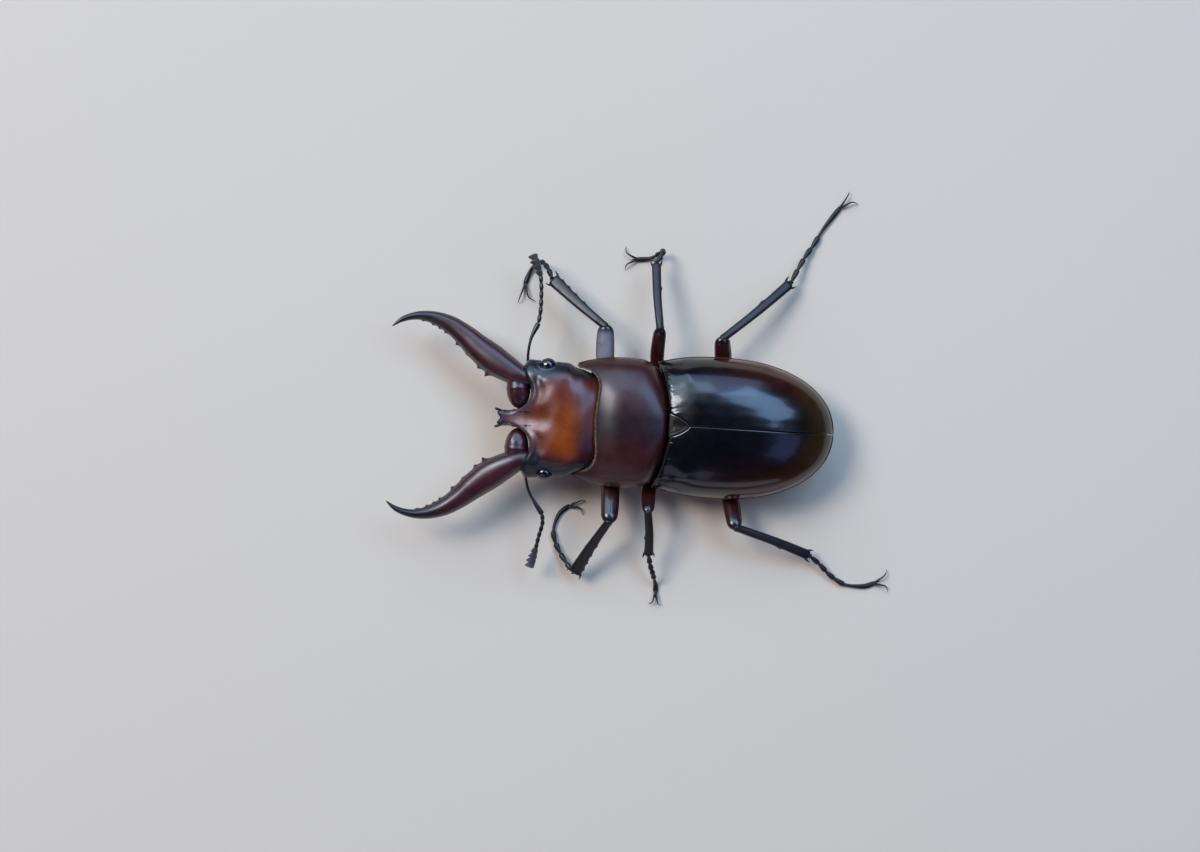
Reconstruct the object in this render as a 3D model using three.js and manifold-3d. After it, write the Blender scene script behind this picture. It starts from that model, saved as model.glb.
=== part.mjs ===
// A male sawtooth stag beetle at life size, in millimetres, standing on the floor at Z = 0.
// +Z is up, the head points to -Y and the beetle's left side is +X. Y = 0 is the waist, between the
// thorax and the wing cases, until the last lines move the origin to the middle of the footprint.
import * as THREE from "three";
import { mergeVertices } from "three/addons/utils/BufferGeometryUtils.js";
import Module from "manifold-3d";

const wasm = await Module();
wasm.setup();

// ---- Driving dimensions ----
const gap = 0.25; // clearance between neighbouring pieces

const elytra = {
  halfWidth: 8.7, widestAt: 6.2, tail: 20.8, front: 0.5, margin: 5.4, seam: 4.9, top: 10.75,
  shoulderRun: 7.5, shoulderPower: 2.3, // how the sides narrow from the widest place to the shoulders
  tailPower: 2.3, tailRoot: 2.1, // how round the tail is in plan
  crownPower: 2.2, crownRoot: 0.58, browDrop: 0.9, // the line of the top, and its drop to the front
  sidePower: 0.9, domePower: 0.87, // how round a cross section is
};
const belly = {
  tail: 20.1, front: -1.2, bottom: 2.2, inset: 0.75, split: 9.4,
  taper: 1.035, // the belly narrows this much sooner than the wing cases
  liftFrom: 8, lift: 2.1, liftPower: 1.7, // it rises from here to the tail
  sidePower: 0.8, keelPower: 0.75,
};
const pronotum = {
  halfWidth: 8.05, widestAt: -5, hind: 0.2, front: -11.2, margin: 6.3, seam: 5.9, top: 10.6,
  frontNarrowing: 1.05, frontPower: 2.4, hindPower: 3.2, // the sides in plan
  hindDrop: 0.75, hindDropPower: 2.6, frontDrop: 2.7, // the line of the top
  rimSteepness: 1.6, rimPower: 0.4, sidePower: 0.88, domePower: 0.85,
};
const prosternum = {
  hind: -1.5, front: -9.6, bottom: 2.9, inset: 0.5,
  throatFrom: 0.55, throatRise: 1.1, hindRise: 0.8, hindSlope: 5, // it rises to the throat and behind
};
const waist = { centre: [0, -0.7, 6.1], radii: [4.8, 1.5, 1.7] };
const scutellum = { halfBase: 1.55, base: 0.5, tip: 2.7, floor: 8.4, shoulderAt: 0.6 };
const head = { neck: -9, yaw: 1.4 }; // the head turns this many degrees to its left about the neck
const eye = { centre: [6.64, -5.8, 7.65], radii: [0.9, 1.0, 0.86] }; // measured from the neck
const mouth = { centre: [0, -8.6, 5.35], radii: [1.5, 1.5, 0.8] };

const tint = {
  shell: 0x1c0f0d,
  chestnut: 0x4a1d14,
  russet: 0x74331a,
  jaw: 0x3a1618,
  leg: 0x1d1719,
  thigh: 0x38130f,
  underside: 0x2a120d,
  eye: 0x0a0c10,
  feeler: 0x120e0f,
  club: 0x3a302c,
};

// ---- Tools: solids from three.js geometry ----
const mix = THREE.MathUtils.lerp;
const vector = (p) => new THREE.Vector3(...p);
const signedPower = (value, exponent) => Math.sign(value) * Math.abs(value) ** exponent;

function manifoldOf(geometry) {
  const bare = new THREE.BufferGeometry();
  const flat = geometry.index ? geometry.toNonIndexed() : geometry;
  bare.setAttribute("position", flat.getAttribute("position"));
  const merged = mergeVertices(bare, 1e-4);
  const corners = [];
  for (let i = 0; i < merged.index.count; i += 3) {
    const [a, b, c] = [0, 1, 2].map((k) => merged.index.getX(i + k));
    if (a !== b && b !== c && a !== c) corners.push(a, b, c);
  }
  const vertProperties = merged.attributes.position.array;
  const build = (list) =>
    new wasm.Manifold(new wasm.Mesh({ numProp: 3, vertProperties, triVerts: new Uint32Array(list) }));
  const made = build(corners);
  return made.volume() > 0 ? made : build(corners.reverse()); // its faces point outwards
}

function namedMesh(name, manifold, color, roughness) {
  const { vertProperties, triVerts } = manifold.getMesh();
  const geometry = new THREE.BufferGeometry()
    .setAttribute("position", new THREE.BufferAttribute(vertProperties, 3))
    .setIndex(new THREE.BufferAttribute(triVerts, 1));
  const material = new THREE.MeshStandardMaterial({ color, roughness, metalness: 0, flatShading: true });
  const mesh = new THREE.Mesh(geometry, material);
  mesh.name = name;
  return mesh;
}

// A sphere whose rings go where place() puts them. t runs 0 to 1 from pole to pole, and (side, up) goes
// once round the unit circle. A ring's index counts from 1, and the poles are 0 and `rings`.
function lofted(sides, rings, place) {
  const geometry = new THREE.SphereGeometry(1, sides, rings);
  const { position, uv } = geometry.attributes;
  for (let i = 0; i < position.count; i++) {
    const turn = 2 * Math.PI * uv.getX(i);
    const ring = Math.round((1 - uv.getY(i)) * rings);
    position.setXYZ(i, ...place(ring, -Math.cos(turn), Math.sin(turn), ring === 0 || ring === rings));
  }
  return manifoldOf(geometry);
}

function ellipsoid(centre, radii, sides, rings, grow = 0) {
  const sphere = new THREE.SphereGeometry(1, sides, rings).scale(...radii.map((radius) => radius + grow));
  return manifoldOf(sphere.translate(...centre));
}

// A limb along a smooth curve. Each row is [share of the length, half width, half height].
function limb(points, sides, rows, grow = 0) {
  const curve = new THREE.CatmullRomCurve3(points.map(vector), false, "centripetal");
  return lofted(sides, rows.length + 1, (ring, side, up, pole) => {
    const [share, halfWidth, halfHeight] = pole ? [ring === 0 ? 0 : 1, 0, 0] : rows[ring - 1];
    const along = curve.getTangentAt(share);
    const across = new THREE.Vector3(0, 0, 1).cross(along).normalize();
    const over = along.clone().cross(across);
    const point = curve.getPointAt(share);
    if (pole) return point.addScaledVector(along, ring === 0 ? -grow : grow).toArray();
    point.addScaledVector(across, side * (halfWidth + grow));
    return point.addScaledVector(over, up * (halfHeight + grow)).toArray();
  });
}

// Rows for limb() with blunt round ends, where halves(share) gives [half width, half height].
function roundedRows(count, halves, blunt) {
  return Array.from({ length: count }, (_, i) => {
    const share = (1 - Math.cos((Math.PI * (i + 0.7)) / (count + 0.4))) / 2;
    const fromEnd = Math.min(share, 1 - share, blunt) / blunt;
    const round = Math.sqrt(1 - (1 - fromEnd) ** 2);
    return [share, ...halves(share).map((half) => half * round)];
  });
}

// Rows for limb() along a chain of segments, each swelling from thin to thick.
function beadRows(count, from, to, thin, thick) {
  return Array.from({ length: count }, (_, i) => [
    [mix(from, to, (i + 0.1) / count), thin, thin],
    [mix(from, to, (i + 0.85) / count), thick, thick],
  ]).flat();
}

function spike(base, tip, radius) {
  const axis = tip.clone().sub(base);
  const cone = new THREE.ConeGeometry(radius, axis.length(), 4).translate(0, axis.length() / 2, 0);
  const turn = new THREE.Quaternion().setFromUnitVectors(new THREE.Vector3(0, 1, 0), axis.normalize());
  return manifoldOf(cone.applyQuaternion(turn).translate(...base.toArray()));
}

// An upright prism over a plan outline that mirrors a list of [x, y] with x from 0 to the left side.
function prism(half, low, high) {
  const right = half.filter(([x]) => x > 0).map(([x, y]) => [-x, y]);
  const shape = new THREE.Shape([...half, ...right.reverse()].map((p) => new THREE.Vector2(...p)));
  const geometry = new THREE.ExtrudeGeometry(shape, { depth: high - low, bevelEnabled: false });
  return manifoldOf(geometry.translate(0, 0, low));
}

function smoothed(points, count) {
  const curve = new THREE.SplineCurve(points.map((p) => new THREE.Vector2(...p)));
  return curve.getPoints(count).map(({ x, y }) => [x, y]);
}

const reach = 60; // beyond every part of the beetle, for cutting blocks and prisms
function halfSpace(axis, from, to) {
  const [low, high] = [vector([-reach, -reach, -reach]), vector([reach, reach, reach])];
  low[axis] = Math.max(from, -reach);
  high[axis] = Math.min(to, reach);
  const block = new THREE.BoxGeometry(...high.clone().sub(low).toArray());
  return manifoldOf(block.translate(...low.add(high).divideScalar(2).toArray()));
}
const without = (piece, cutters) => cutters.reduce((left, cutter) => left.subtract(cutter), piece);

// ---- Hind body: wing cases and scutellum over thorax and abdomen ----
function elytraHalfWidth(y) {
  const { halfWidth, widestAt, tail, shoulderRun, shoulderPower, tailPower, tailRoot } = elytra;
  if (y < widestAt) return halfWidth - ((widestAt - y) / shoulderRun) ** shoulderPower;
  const aft = Math.min(1, (y - widestAt) / (tail - widestAt));
  return halfWidth * (1 - aft ** tailPower) ** (1 / tailRoot);
}

function elytraTop(y) {
  const { widestAt, tail, margin, top, crownPower, crownRoot, browDrop } = elytra;
  const aft = Math.min(1, Math.max(0, y - widestAt) / (tail - widestAt));
  const ahead = Math.max(0, widestAt - y) / widestAt;
  return mix(margin, top, (1 - aft ** crownPower) ** crownRoot) - browDrop * ahead ** 2;
}

// Rings from the round tail, where they crowd, to a full-size last ring at the front.
const crowding = 1.8;
const bodyRingY = (ring, rings, tail, front) =>
  mix(tail, front, Math.min(1, ring / (rings - 1)) ** crowding);
// How far below the margin a ring point lies: it drops steeply, then runs flat.
const undercut = (depth, up, steepness) => depth * Math.min(1, steepness * Math.max(0, -up));

function wingCaseDome() {
  const { margin, seam, tail, front, sidePower, domePower } = elytra;
  const rings = 14;
  const spare = 3; // the dome runs on past the front margin, where the base line cuts it
  return lofted(26, rings, (ring, side, up, pole) => {
    const y = bodyRingY(ring, rings, tail, front - spare);
    if (pole) return [0, y, margin];
    const above = (elytraTop(y) - margin) * Math.max(0, up) ** domePower;
    const z = margin + above - undercut(margin - seam, up, 2.6);
    return [elytraHalfWidth(y) * signedPower(side, sidePower), y, z];
  });
}

function bellyForm() {
  const { tail, front, bottom, inset, taper, liftFrom, lift, liftPower, sidePower, keelPower } = belly;
  const rings = 10;
  return lofted(16, rings, (ring, side, up, pole) => {
    const y = bodyRingY(ring, rings, tail, front);
    if (pole) return [0, y, elytra.seam];
    const halfWidth = Math.max(0, elytraHalfWidth(y * taper) - inset);
    const raised = lift * Math.max(0, (y - liftFrom) / (tail - liftFrom)) ** liftPower;
    const depth = elytra.seam - bottom - raised;
    const z = elytra.seam + (up > 0 ? up : -depth * Math.abs(up) ** keelPower);
    return [halfWidth * signedPower(side, sidePower), y, z];
  });
}

// The front margin of the wing cases in plan, from the middle to past the shoulder.
const baseMargin = smoothed([[0, 0.5], [1.6, 0.48], [3.9, 0.2], [6.0, -0.3], [7.7, -1.2], [9.6, -2.9]], 9);
const beforeBase = prism([[0, -reach], [9.6, -reach], ...baseMargin.reverse()], 0, reach);

function scutellumPrism(grow) {
  const { halfBase, base, tip, floor, shoulderAt } = scutellum;
  const outline = [[0, base - 3 * grow], [halfBase + grow, base - 3 * grow], [halfBase + grow, base],
    [halfBase / 2 + grow, mix(base, tip, shoulderAt)], [0, tip + 2 * grow]];
  return prism(outline, floor - grow, reach);
}

const waistForm = (grow) => ellipsoid(waist.centre, waist.radii, 12, 5, grow);
const dome = wingCaseDome();
const wingCases = without(dome, [beforeBase, scutellumPrism(gap), waistForm(gap)])
  .intersect(halfSpace("z", elytra.seam, reach));
const scutellumPlate = dome.intersect(scutellumPrism(0)).subtract(waistForm(gap));
const underWings = bellyForm().intersect(halfSpace("z", -reach, elytra.seam - gap));

// ---- Fore body: pronotum over prosternum ----
function pronotumHalfWidth(y) {
  const { halfWidth, widestAt, hind, front, frontNarrowing, frontPower, hindPower } = pronotum;
  const ahead = (widestAt - y) / (widestAt - front);
  if (y < widestAt) return halfWidth - frontNarrowing * ahead ** frontPower;
  return halfWidth * Math.sqrt(1 - Math.min(1, (y - widestAt) / (hind - widestAt)) ** hindPower);
}

function pronotumTop(y) {
  const { widestAt, hind, front, top, hindDrop, hindDropPower, frontDrop } = pronotum;
  const aft = Math.max(0, y - widestAt) / (hind - widestAt);
  const ahead = Math.max(0, widestAt - y) / (widestAt - front);
  return top - hindDrop * aft ** hindDropPower - frontDrop * ahead ** 2;
}

function pronotumForm() {
  const { hind, front, margin, seam, halfWidth, rimSteepness, rimPower, sidePower, domePower } = pronotum;
  const rings = 12;
  return lofted(22, rings, (ring, side, up, pole) => {
    const y = bodyRingY(ring, rings, hind, front);
    if (pole) return [0, y, margin + 1];
    const width = pronotumHalfWidth(y);
    const steep = Math.min(1, (rimSteepness * width) / halfWidth) ** rimPower; // the hind rim drops steeply
    const above = (pronotumTop(y) - margin) * steep * Math.max(0, up) ** domePower;
    const z = margin + above - undercut(margin - seam, up, 3);
    return [width * signedPower(side, sidePower), y, z];
  });
}

function prosternumForm() {
  const { hind, front, bottom, inset, throatFrom, throatRise, hindRise, hindSlope } = prosternum;
  const rings = 7;
  return lofted(14, rings, (ring, side, up, pole) => {
    const share = Math.min(1, Math.max(0, ring - 1) / (rings - 2));
    const y = mix(hind, front, share);
    if (pole) return [0, y, pronotum.seam - 1];
    const throat = throatRise * Math.max(0, (share - throatFrom) / (1 - throatFrom));
    const depth = pronotum.seam - bottom - throat - hindRise * Math.max(0, 1 - hindSlope * share);
    const z = pronotum.seam + (up > 0 ? up : -depth * Math.abs(up) ** belly.keelPower);
    return [(pronotumHalfWidth(y) - inset) * signedPower(side, belly.sidePower), y, z];
  });
}

// The scalloped front margin of the pronotum, from the middle to its pointed front corner.
const collarPoints = [[0, -8.62], [2.3, -8.5], [4.3, -8.38], [5.4, -8.7], [6.1, -9.35], [6.42, -10.3],
  [6.62, -11.6]];
const collar = smoothed(collarPoints, 9);
const beforeCollar = prism([[0, -reach], [6.62, -reach], ...collar.reverse()], 0, reach);

// ---- Head, measured from the neck ----
// Stations from the neck forward: [y, half width, top, bottom].
const headStations = [
  [2.6, 3.6, 7.9, 5.0],
  [1.6, 4.8, 8.4, 4.6],
  [0.2, 5.6, 9.05, 4.3],
  [-1.2, 6.2, 9.55, 4.15],
  [-2.2, 6.45, 9.72, 4.1],
  [-3.2, 7.0, 9.8, 4.1],
  [-4.8, 7.08, 9.7, 4.2],
  [-6.3, 7.1, 9.35, 4.45],
  [-7.5, 7.28, 8.95, 4.8],
  [-8.2, 7.12, 8.7, 5.1],
  [-8.65, 6.7, 8.5, 5.4],
  [-10.2, 5.2, 8.0, 6.2],
  [-11.9, 2.6, 7.7, 7.1],
];

const headSection = { middle: 0.52, sidePower: 0.72, crownPower: 0.8 }; // middle: the widest level

function headForm(grow = 0) {
  const { middle, sidePower, crownPower } = headSection;
  const rings = headStations.length + 1;
  return lofted(20, rings, (ring, side, up, pole) => {
    const [y, halfWidth, top, bottom] = headStations[Math.min(Math.max(ring - 1, 0), rings - 2)];
    const z = mix(bottom, top, middle);
    if (pole) return [0, y + (ring === 0 ? grow : -grow), z];
    const rise = up > 0 ? top - z : z - bottom;
    const x = (halfWidth + grow) * signedPower(side, sidePower);
    return [x, y, z + (rise + grow) * signedPower(up, crownPower)];
  });
}

// The front of the head in plan: a forked shield in the middle, a round bay for each jaw, a blunt cheek.
const headFront = [[0, -11.45], [0.42, -11.75], [0.78, -11.8], [0.72, -10.6], [0.98, -9.6],
  [1.35, -8.85], [2.05, -8.1], [3.05, -7.7], [4.15, -7.9], [4.8, -8.4], [5.5, -8.72], [6.3, -8.75],
  [7.0, -8.45], [9, -7.6]];
const beforeHead = prism([[0, -reach], [9, -reach], ...headFront.reverse()], 0, reach);

// ---- Jaws: rows of [x, y, z, half width, half height] from the root to near the tip ----
const jawRows = [
  [4.85, -7.6, 6.9, 1.05, 1.2],
  [5.22, -9.14, 6.85, 1.3, 1.45],
  [6.07, -10.88, 6.7, 1.64, 1.45],
  [7.18, -12.7, 6.5, 1.82, 1.4],
  [8.6, -14.6, 6.3, 1.64, 1.25],
  [10.05, -16.3, 6.15, 1.36, 1.08],
  [11.35, -18.2, 6.1, 1.08, 0.9],
  [12.1, -20.2, 6.15, 0.78, 0.72],
  [12.27, -22.1, 6.3, 0.53, 0.55],
  [11.75, -24.0, 6.5, 0.36, 0.4],
];
const jawTip = [10.75, -25.35, 6.75];
// The knuckle that turns in the bay of the head.
const knuckle = { from: [1.5, -9.2, 6.7], to: [6.2, -9.2, 6.8], half: [1.55, 1.5] };
const jawTeeth = { from: 0.33, to: 0.83, count: 6, radius: 0.3, stand: 0.3, first: 0.55 };

function jaw(grow = 0) {
  const points = [...jawRows.map((row) => row.slice(0, 3)), jawTip];
  const curve = new THREE.CatmullRomCurve3(points.map(vector), false, "centripetal");
  const fine = 24; // samples between two rows, to find each row's share of the length
  const lengths = curve.getLengths(jawRows.length * fine);
  const rows = jawRows.map((row, i) => [lengths[i * fine] / lengths.at(-1), row[3], row[4]]);
  const knuckleRows = roundedRows(4, () => knuckle.half, 0.3);
  const blade = limb(points, 10, rows, grow).add(limb([knuckle.from, knuckle.to], 8, knuckleRows, grow));
  if (grow) return blade;
  const teeth = Array.from({ length: jawTeeth.count }, (_, i) => {
    const share = mix(jawTeeth.from, jawTeeth.to, i / (jawTeeth.count - 1));
    const after = rows.findIndex((row) => row[0] > share);
    const [low, high] = [rows[after - 1], rows[after]];
    const halfWidth = mix(low[1], high[1], (share - low[0]) / (high[0] - low[0]));
    const inward = new THREE.Vector3(0, 0, 1).cross(curve.getTangentAt(share)).negate();
    const root = curve.getPointAt(share).addScaledVector(inward, halfWidth - jawTeeth.radius);
    const stand = i === 0 ? jawTeeth.first : jawTeeth.stand;
    const tip = root.clone().addScaledVector(inward, jawTeeth.radius + stand);
    return spike(root, tip, jawTeeth.radius);
  });
  return teeth.reduce((joined, tooth) => joined.add(tooth), blade);
}

const palpPath = [[1.35, -8.3, 4.55], [0.95, -9.6, 4.5], [0.8, -11.0, 4.55], [1.3, -12.7, 4.65]];
const palp = (grow = 0) => limb(palpPath, 5, beadRows(3, 0.04, 0.98, 0.25, 0.32), grow);
const eyeball = (grow = 0) => ellipsoid(eye.centre, eye.radii, 10, 6, grow);
const mouthparts = (grow = 0) => ellipsoid(mouth.centre, mouth.radii, 10, 5, grow);

// ---- Antennae, measured from the neck: a long scape, a beaded lash and a one-sided club ----
const antennae = {
  left: {
    scape: [[6.15, -8.35, 6.2], [8.9, -7.75, 6.0], [10.5, -6.85, 5.8], [11.85, -5.95, 5.6]],
    lash: [[11.85, -5.95, 5.6], [13.0, -5.9, 5.0], [14.6, -6.3, 4.5], [16.2, -6.65, 4.0]],
    club: [[16.2, -6.65, 4.0], [18.5, -7.2, 3.5]],
  },
  right: {
    scape: [[-6.15, -8.35, 6.2], [-8.0, -8.35, 6.4], [-9.9, -8.05, 6.5], [-11.85, -7.2, 6.3]],
    lash: [[-11.85, -7.2, 6.3], [-13.6, -7.0, 6.1], [-15.8, -7.0, 5.9], [-17.8, -7.15, 5.7]],
    club: [[-17.8, -7.15, 5.7], [-20.5, -8.15, 5.5]],
  },
};
const scapeRows = [[0.02, 0.26, 0.26], [0.4, 0.26, 0.26], [0.75, 0.3, 0.3], [0.95, 0.4, 0.36]];
const clubHalves = { lobes: 4, thin: 0.42, wide: 0.6 };

const scape = (side, grow = 0) => limb(antennae[side].scape, 5, scapeRows, grow);
const lash = (side, grow = 0) => limb(antennae[side].lash, 5, beadRows(6, 0.04, 0.98, 0.25, 0.31), grow);
const club = (side) =>
  limb(antennae[side].club, 7, beadRows(clubHalves.lobes, 0.04, 1, clubHalves.thin, clubHalves.wide));

// ---- Legs: joint positions from hip to toe. The foot's points run on from the ankle ----
const legs = {
  front_right: {
    coxa: [-2.9, -6.7, 3.2], hip: [-4.5, -7.5, 3.3], thigh: [-8.0, -8.0, 4.5], knee: [-11.7, -8.15, 6.5],
    ankle: [-17.4, -15.2, 3.9],
    foot: [[-18.7, -15.8, 3.3], [-19.6, -16.7, 1.9], [-19.3, -17.6, 0.8], [-18.3, -18.2, 0.3],
      [-16.6, -18.75, 0.14]],
    claws: [[-14.3, -19.5, 0.2], [-14.7, -17.2, 0.2]],
  },
  front_left: {
    coxa: [2.9, -6.7, 3.2], hip: [4.5, -6.9, 3.3], thigh: [8.2, -6.4, 4.5], knee: [12.3, -6.3, 6.4],
    ankle: [19.3, -10.3, 2.0],
    foot: [[18.1, -11.4, 1.2], [17.0, -12.2, 0.75], [15.6, -12.95, 0.5], [14.1, -13.25, 0.35],
      [12.0, -12.6, 0.2], [10.85, -11.3, 0.14]],
    claws: [[10.2, -9.3, 0.2], [12.1, -9.6, 0.2]],
  },
  middle_right: {
    coxa: [-3.1, -0.1, 2.9], hip: [-4.7, -0.9, 2.95], thigh: [-8.0, -1.5, 3.8], knee: [-11.8, -1.4, 6.5],
    ankle: [-20.2, -2.3, 3.5],
    foot: [[-21.4, -1.6, 2.9], [-21.9, -1.5, 1.9], [-21.4, -2.2, 0.9], [-20.95, -3.3, 0.3],
      [-20.75, -4.9, 0.14]],
    claws: [[-22.4, -6.2, 0.2], [-19.3, -6.1, 0.2]],
  },
  middle_left: {
    coxa: [3.1, -0.1, 2.9], hip: [4.7, -0.9, 2.95], thigh: [7.8, -1.5, 3.8], knee: [10.8, -1.6, 6.5],
    ankle: [16.4, -1.1, 3.5],
    foot: [[17.7, -0.8, 3.1], [18.8, -0.4, 2.2], [19.7, -0.1, 1.0], [20.4, 0.1, 0.3], [21.4, 0.15, 0.14]],
    claws: [[22.7, -0.7, 0.2], [22.9, 0.9, 0.2]],
  },
  hind_right: {
    coxa: [-3.3, 7.5, 2.9], hip: [-5.2, 7.2, 2.7], thigh: [-8.6, 6.8, 3.4], knee: [-11.1, 6.4, 5.2],
    ankle: [-18.8, 14.8, 1.9],
    foot: [[-21.1, 15.9, 1.2], [-22.5, 16.65, 0.8], [-24.1, 17.65, 0.5], [-25.9, 18.6, 0.3],
      [-29.0, 20.75, 0.14]],
    claws: [[-29.4, 23.0, 0.2], [-31.0, 21.7, 0.2]],
  },
  hind_left: {
    coxa: [3.3, 7.5, 2.9], hip: [5.2, 7.6, 2.7], thigh: [8.8, 8.7, 3.4], knee: [12.2, 9.4, 5.2],
    ankle: [15.35, 19.2, 1.8],
    foot: [[16.5, 20.7, 1.1], [17.55, 21.8, 0.8], [18.3, 22.9, 0.55], [18.85, 24.1, 0.35], [18.9, 26.7, 0.2],
      [18.4, 27.9, 0.14]],
    claws: [[16.6, 29.3, 0.2], [19.5, 29.6, 0.2]],
  },
};
// What differs between the three pairs: socket radii, greatest half width of the thigh, half width of
// the shin at the ankle, and where along the shin its outer teeth stand.
const pairs = {
  front: { socket: [1.9, 1.15, 1.05], thigh: 1.16, shin: 0.84, teeth: [0.45, 0.62, 0.77, 0.9] },
  middle: { socket: [1.9, 1.1, 0.95], thigh: 0.88, shin: 0.62, teeth: [0.6] },
  hind: { socket: [2.5, 0.95, 0.95], thigh: 1.08, shin: 0.68, teeth: [0.6] },
};
const thigh = { flatness: 0.68, slimmest: 0.5, swellFrom: 0.18, swellRun: 0.78, swellPower: 0.8 };
const shin = {
  kneeHalf: [0.46, 0.43], ankleHalfHeight: 0.47, flarePower: 1.6, // half width and half height
  toothRadius: 0.27, toothRoot: 0.3, toothRun: 0.3, toothStand: 0.12, toothGrowth: 0.3,
  spurRadius: 0.3, spurRoot: 0.5, spurTip: 0.55, spurSpread: 0.1,
};
const toes = { ends: [0.02, 0.17, 0.31, 0.45, 0.6, 1], thin: 0.25, thick: 0.36 }; // five joints
const clawShape = {
  rows: [[0.05, 0.25, 0.25], [0.5, 0.25, 0.27], [0.88, 0.18, 0.2]], // as limb() takes them
  arch: 0.45, bow: 0.35, // how high and how far ahead its bend stands
};

const coxa = (leg, pair, grow = 0) => ellipsoid(leg.coxa, pair.socket, 8, 5, grow);

function femur(leg, pair, grow = 0) {
  const { flatness, slimmest, swellFrom, swellRun, swellPower } = thigh;
  const halves = (share) => {
    const swell = mix(slimmest, 1, Math.sin(Math.PI * (swellFrom + swellRun * share)) ** swellPower);
    return [pair.thigh * swell, pair.thigh * swell * flatness];
  };
  return limb([leg.hip, leg.thigh, leg.knee], 8, roundedRows(5, halves, 0.08), grow);
}

// The shin is slender at the knee and flares to the ankle, with teeth outside and two end spurs.
function tibia(leg, pair, grow = 0) {
  const [kneeWidth, kneeHeight] = shin.kneeHalf;
  const halves = (share) => [
    mix(kneeWidth, pair.shin, share ** shin.flarePower),
    mix(kneeHeight, shin.ankleHalfHeight, share),
  ];
  const blade = limb([leg.knee, leg.ankle], 6, roundedRows(5, halves, 0.05), grow);
  if (grow) return blade;
  const [knee, ankle, hip] = [leg.knee, leg.ankle, leg.hip].map(vector);
  const length = ankle.distanceTo(knee);
  const along = ankle.clone().sub(knee).normalize();
  const outward = new THREE.Vector3(0, 0, 1).cross(along).normalize();
  if (outward.dot(knee.clone().sub(hip)) < 0) outward.negate();
  const at = (down, out) => knee.clone().addScaledVector(along, down).addScaledVector(outward, out);
  const teeth = pair.teeth.map((share) => {
    const edge = halves(share)[0];
    const tip = at(length * share + shin.toothRun, edge + shin.toothGrowth * share + shin.toothStand);
    return spike(at(length * share, edge - shin.toothRoot), tip, shin.toothRadius);
  });
  const spurs = [-1, 1].map((side) => {
    const root = at(length - shin.spurRoot, side * (pair.shin - shin.spurRadius));
    return spike(root, at(length + shin.spurTip, side * (pair.shin + shin.spurSpread)), shin.spurRadius);
  });
  return [...teeth, ...spurs].reduce((joined, piece) => joined.add(piece), blade);
}

// Five joints, the last one long, then two hooked claws. What would sink into the floor is cut flat.
function tarsus(leg, grow = 0) {
  const { ends, thin, thick } = toes;
  const rows = ends.slice(1).flatMap((end, i) => [
    [ends[i] + 0.02, thin, thin],
    [end - 0.015, thick, thick],
  ]);
  const joints = limb([leg.ankle, ...leg.foot], 6, rows, grow);
  const [before, toe] = leg.foot.slice(-2).map(vector);
  const heading = toe.clone().sub(before).setZ(0).normalize();
  const claws = leg.claws.map((tip) => {
    const root = toe.clone().addScaledVector(heading, -toes.thin);
    const bend = vector(tip).lerp(toe, 0.5).addScaledVector(heading, clawShape.bow).setZ(clawShape.arch);
    return limb([root.toArray(), bend.toArray(), tip], 4, clawShape.rows, grow);
  });
  return claws.reduce((joined, claw) => joined.add(claw), joints).intersect(halfSpace("z", 0, reach));
}

// ---- Fitting neighbours to each other, and the scene graph ----
const headTurn = new THREE.Matrix4()
  .makeTranslation(0, head.neck, 0)
  .multiply(new THREE.Matrix4().makeRotationZ(THREE.MathUtils.degToRad(head.yaw)));
const mirrored = (piece) => piece.transform(new THREE.Matrix4().makeScale(-1, 1, 1).toArray());
const both = (piece) => [piece, mirrored(piece)];

const legList = Object.entries(legs).map(([name, leg]) => [name, leg, pairs[name.split("_")[0]]]);
const legRoots = legList.flatMap(([, leg, pair]) => [coxa(leg, pair, gap), femur(leg, pair, gap)]);
const headRoom = headForm(gap).transform(headTurn.toArray());

const pronotumPlate = without(pronotumForm().intersect(halfSpace("z", pronotum.seam, reach)), [
  beforeCollar,
  headRoom,
  waistForm(gap),
]);
const prosternumPlate = without(prosternumForm().intersect(halfSpace("z", -reach, pronotum.seam - gap)), [
  headRoom,
  waistForm(gap),
  ...legRoots,
]);
const thorax = without(underWings.intersect(halfSpace("y", -reach, belly.split - gap / 2)), legRoots)
  .add(waistForm(0).intersect(halfSpace("z", elytra.seam - 2 * gap, reach)));
const abdomen = without(underWings.intersect(halfSpace("y", belly.split + gap / 2, reach)), legRoots);

const headPlate = without(headForm(), [
  beforeHead,
  mouthparts(gap),
  ...both(jaw(gap)),
  ...both(eyeball(gap)),
  scape("left", gap),
  scape("right", gap),
]);

const beetle = new THREE.Group();

const headGroup = new THREE.Group();
headGroup.position.y = head.neck;
headGroup.rotation.z = THREE.MathUtils.degToRad(head.yaw);
const mouthPiece = without(mouthparts(), [...both(palp(gap)), ...both(jaw(gap))]);
headGroup.add(namedMesh("head", headPlate, tint.russet, 0.35));
headGroup.add(namedMesh("mouthparts", mouthPiece, tint.underside, 0.6));
for (const [side, turned] of [["left", (piece) => piece], ["right", mirrored]]) {
  headGroup.add(namedMesh(`mandible_${side}`, turned(jaw()), tint.jaw, 0.25));
  headGroup.add(namedMesh(`eye_${side}`, turned(eyeball()), tint.eye, 0.08));
  headGroup.add(namedMesh(`palp_${side}`, turned(palp().subtract(jaw(gap))), tint.feeler, 0.4));
  headGroup.add(namedMesh(`scape_${side}`, scape(side).subtract(turned(jaw(gap))), tint.feeler, 0.3));
  headGroup.add(namedMesh(`funicle_${side}`, lash(side).subtract(scape(side, gap)), tint.feeler, 0.3));
  headGroup.add(namedMesh(`antenna_club_${side}`, club(side).subtract(lash(side, gap)), tint.club, 0.8));
}
beetle.add(headGroup);

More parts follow.
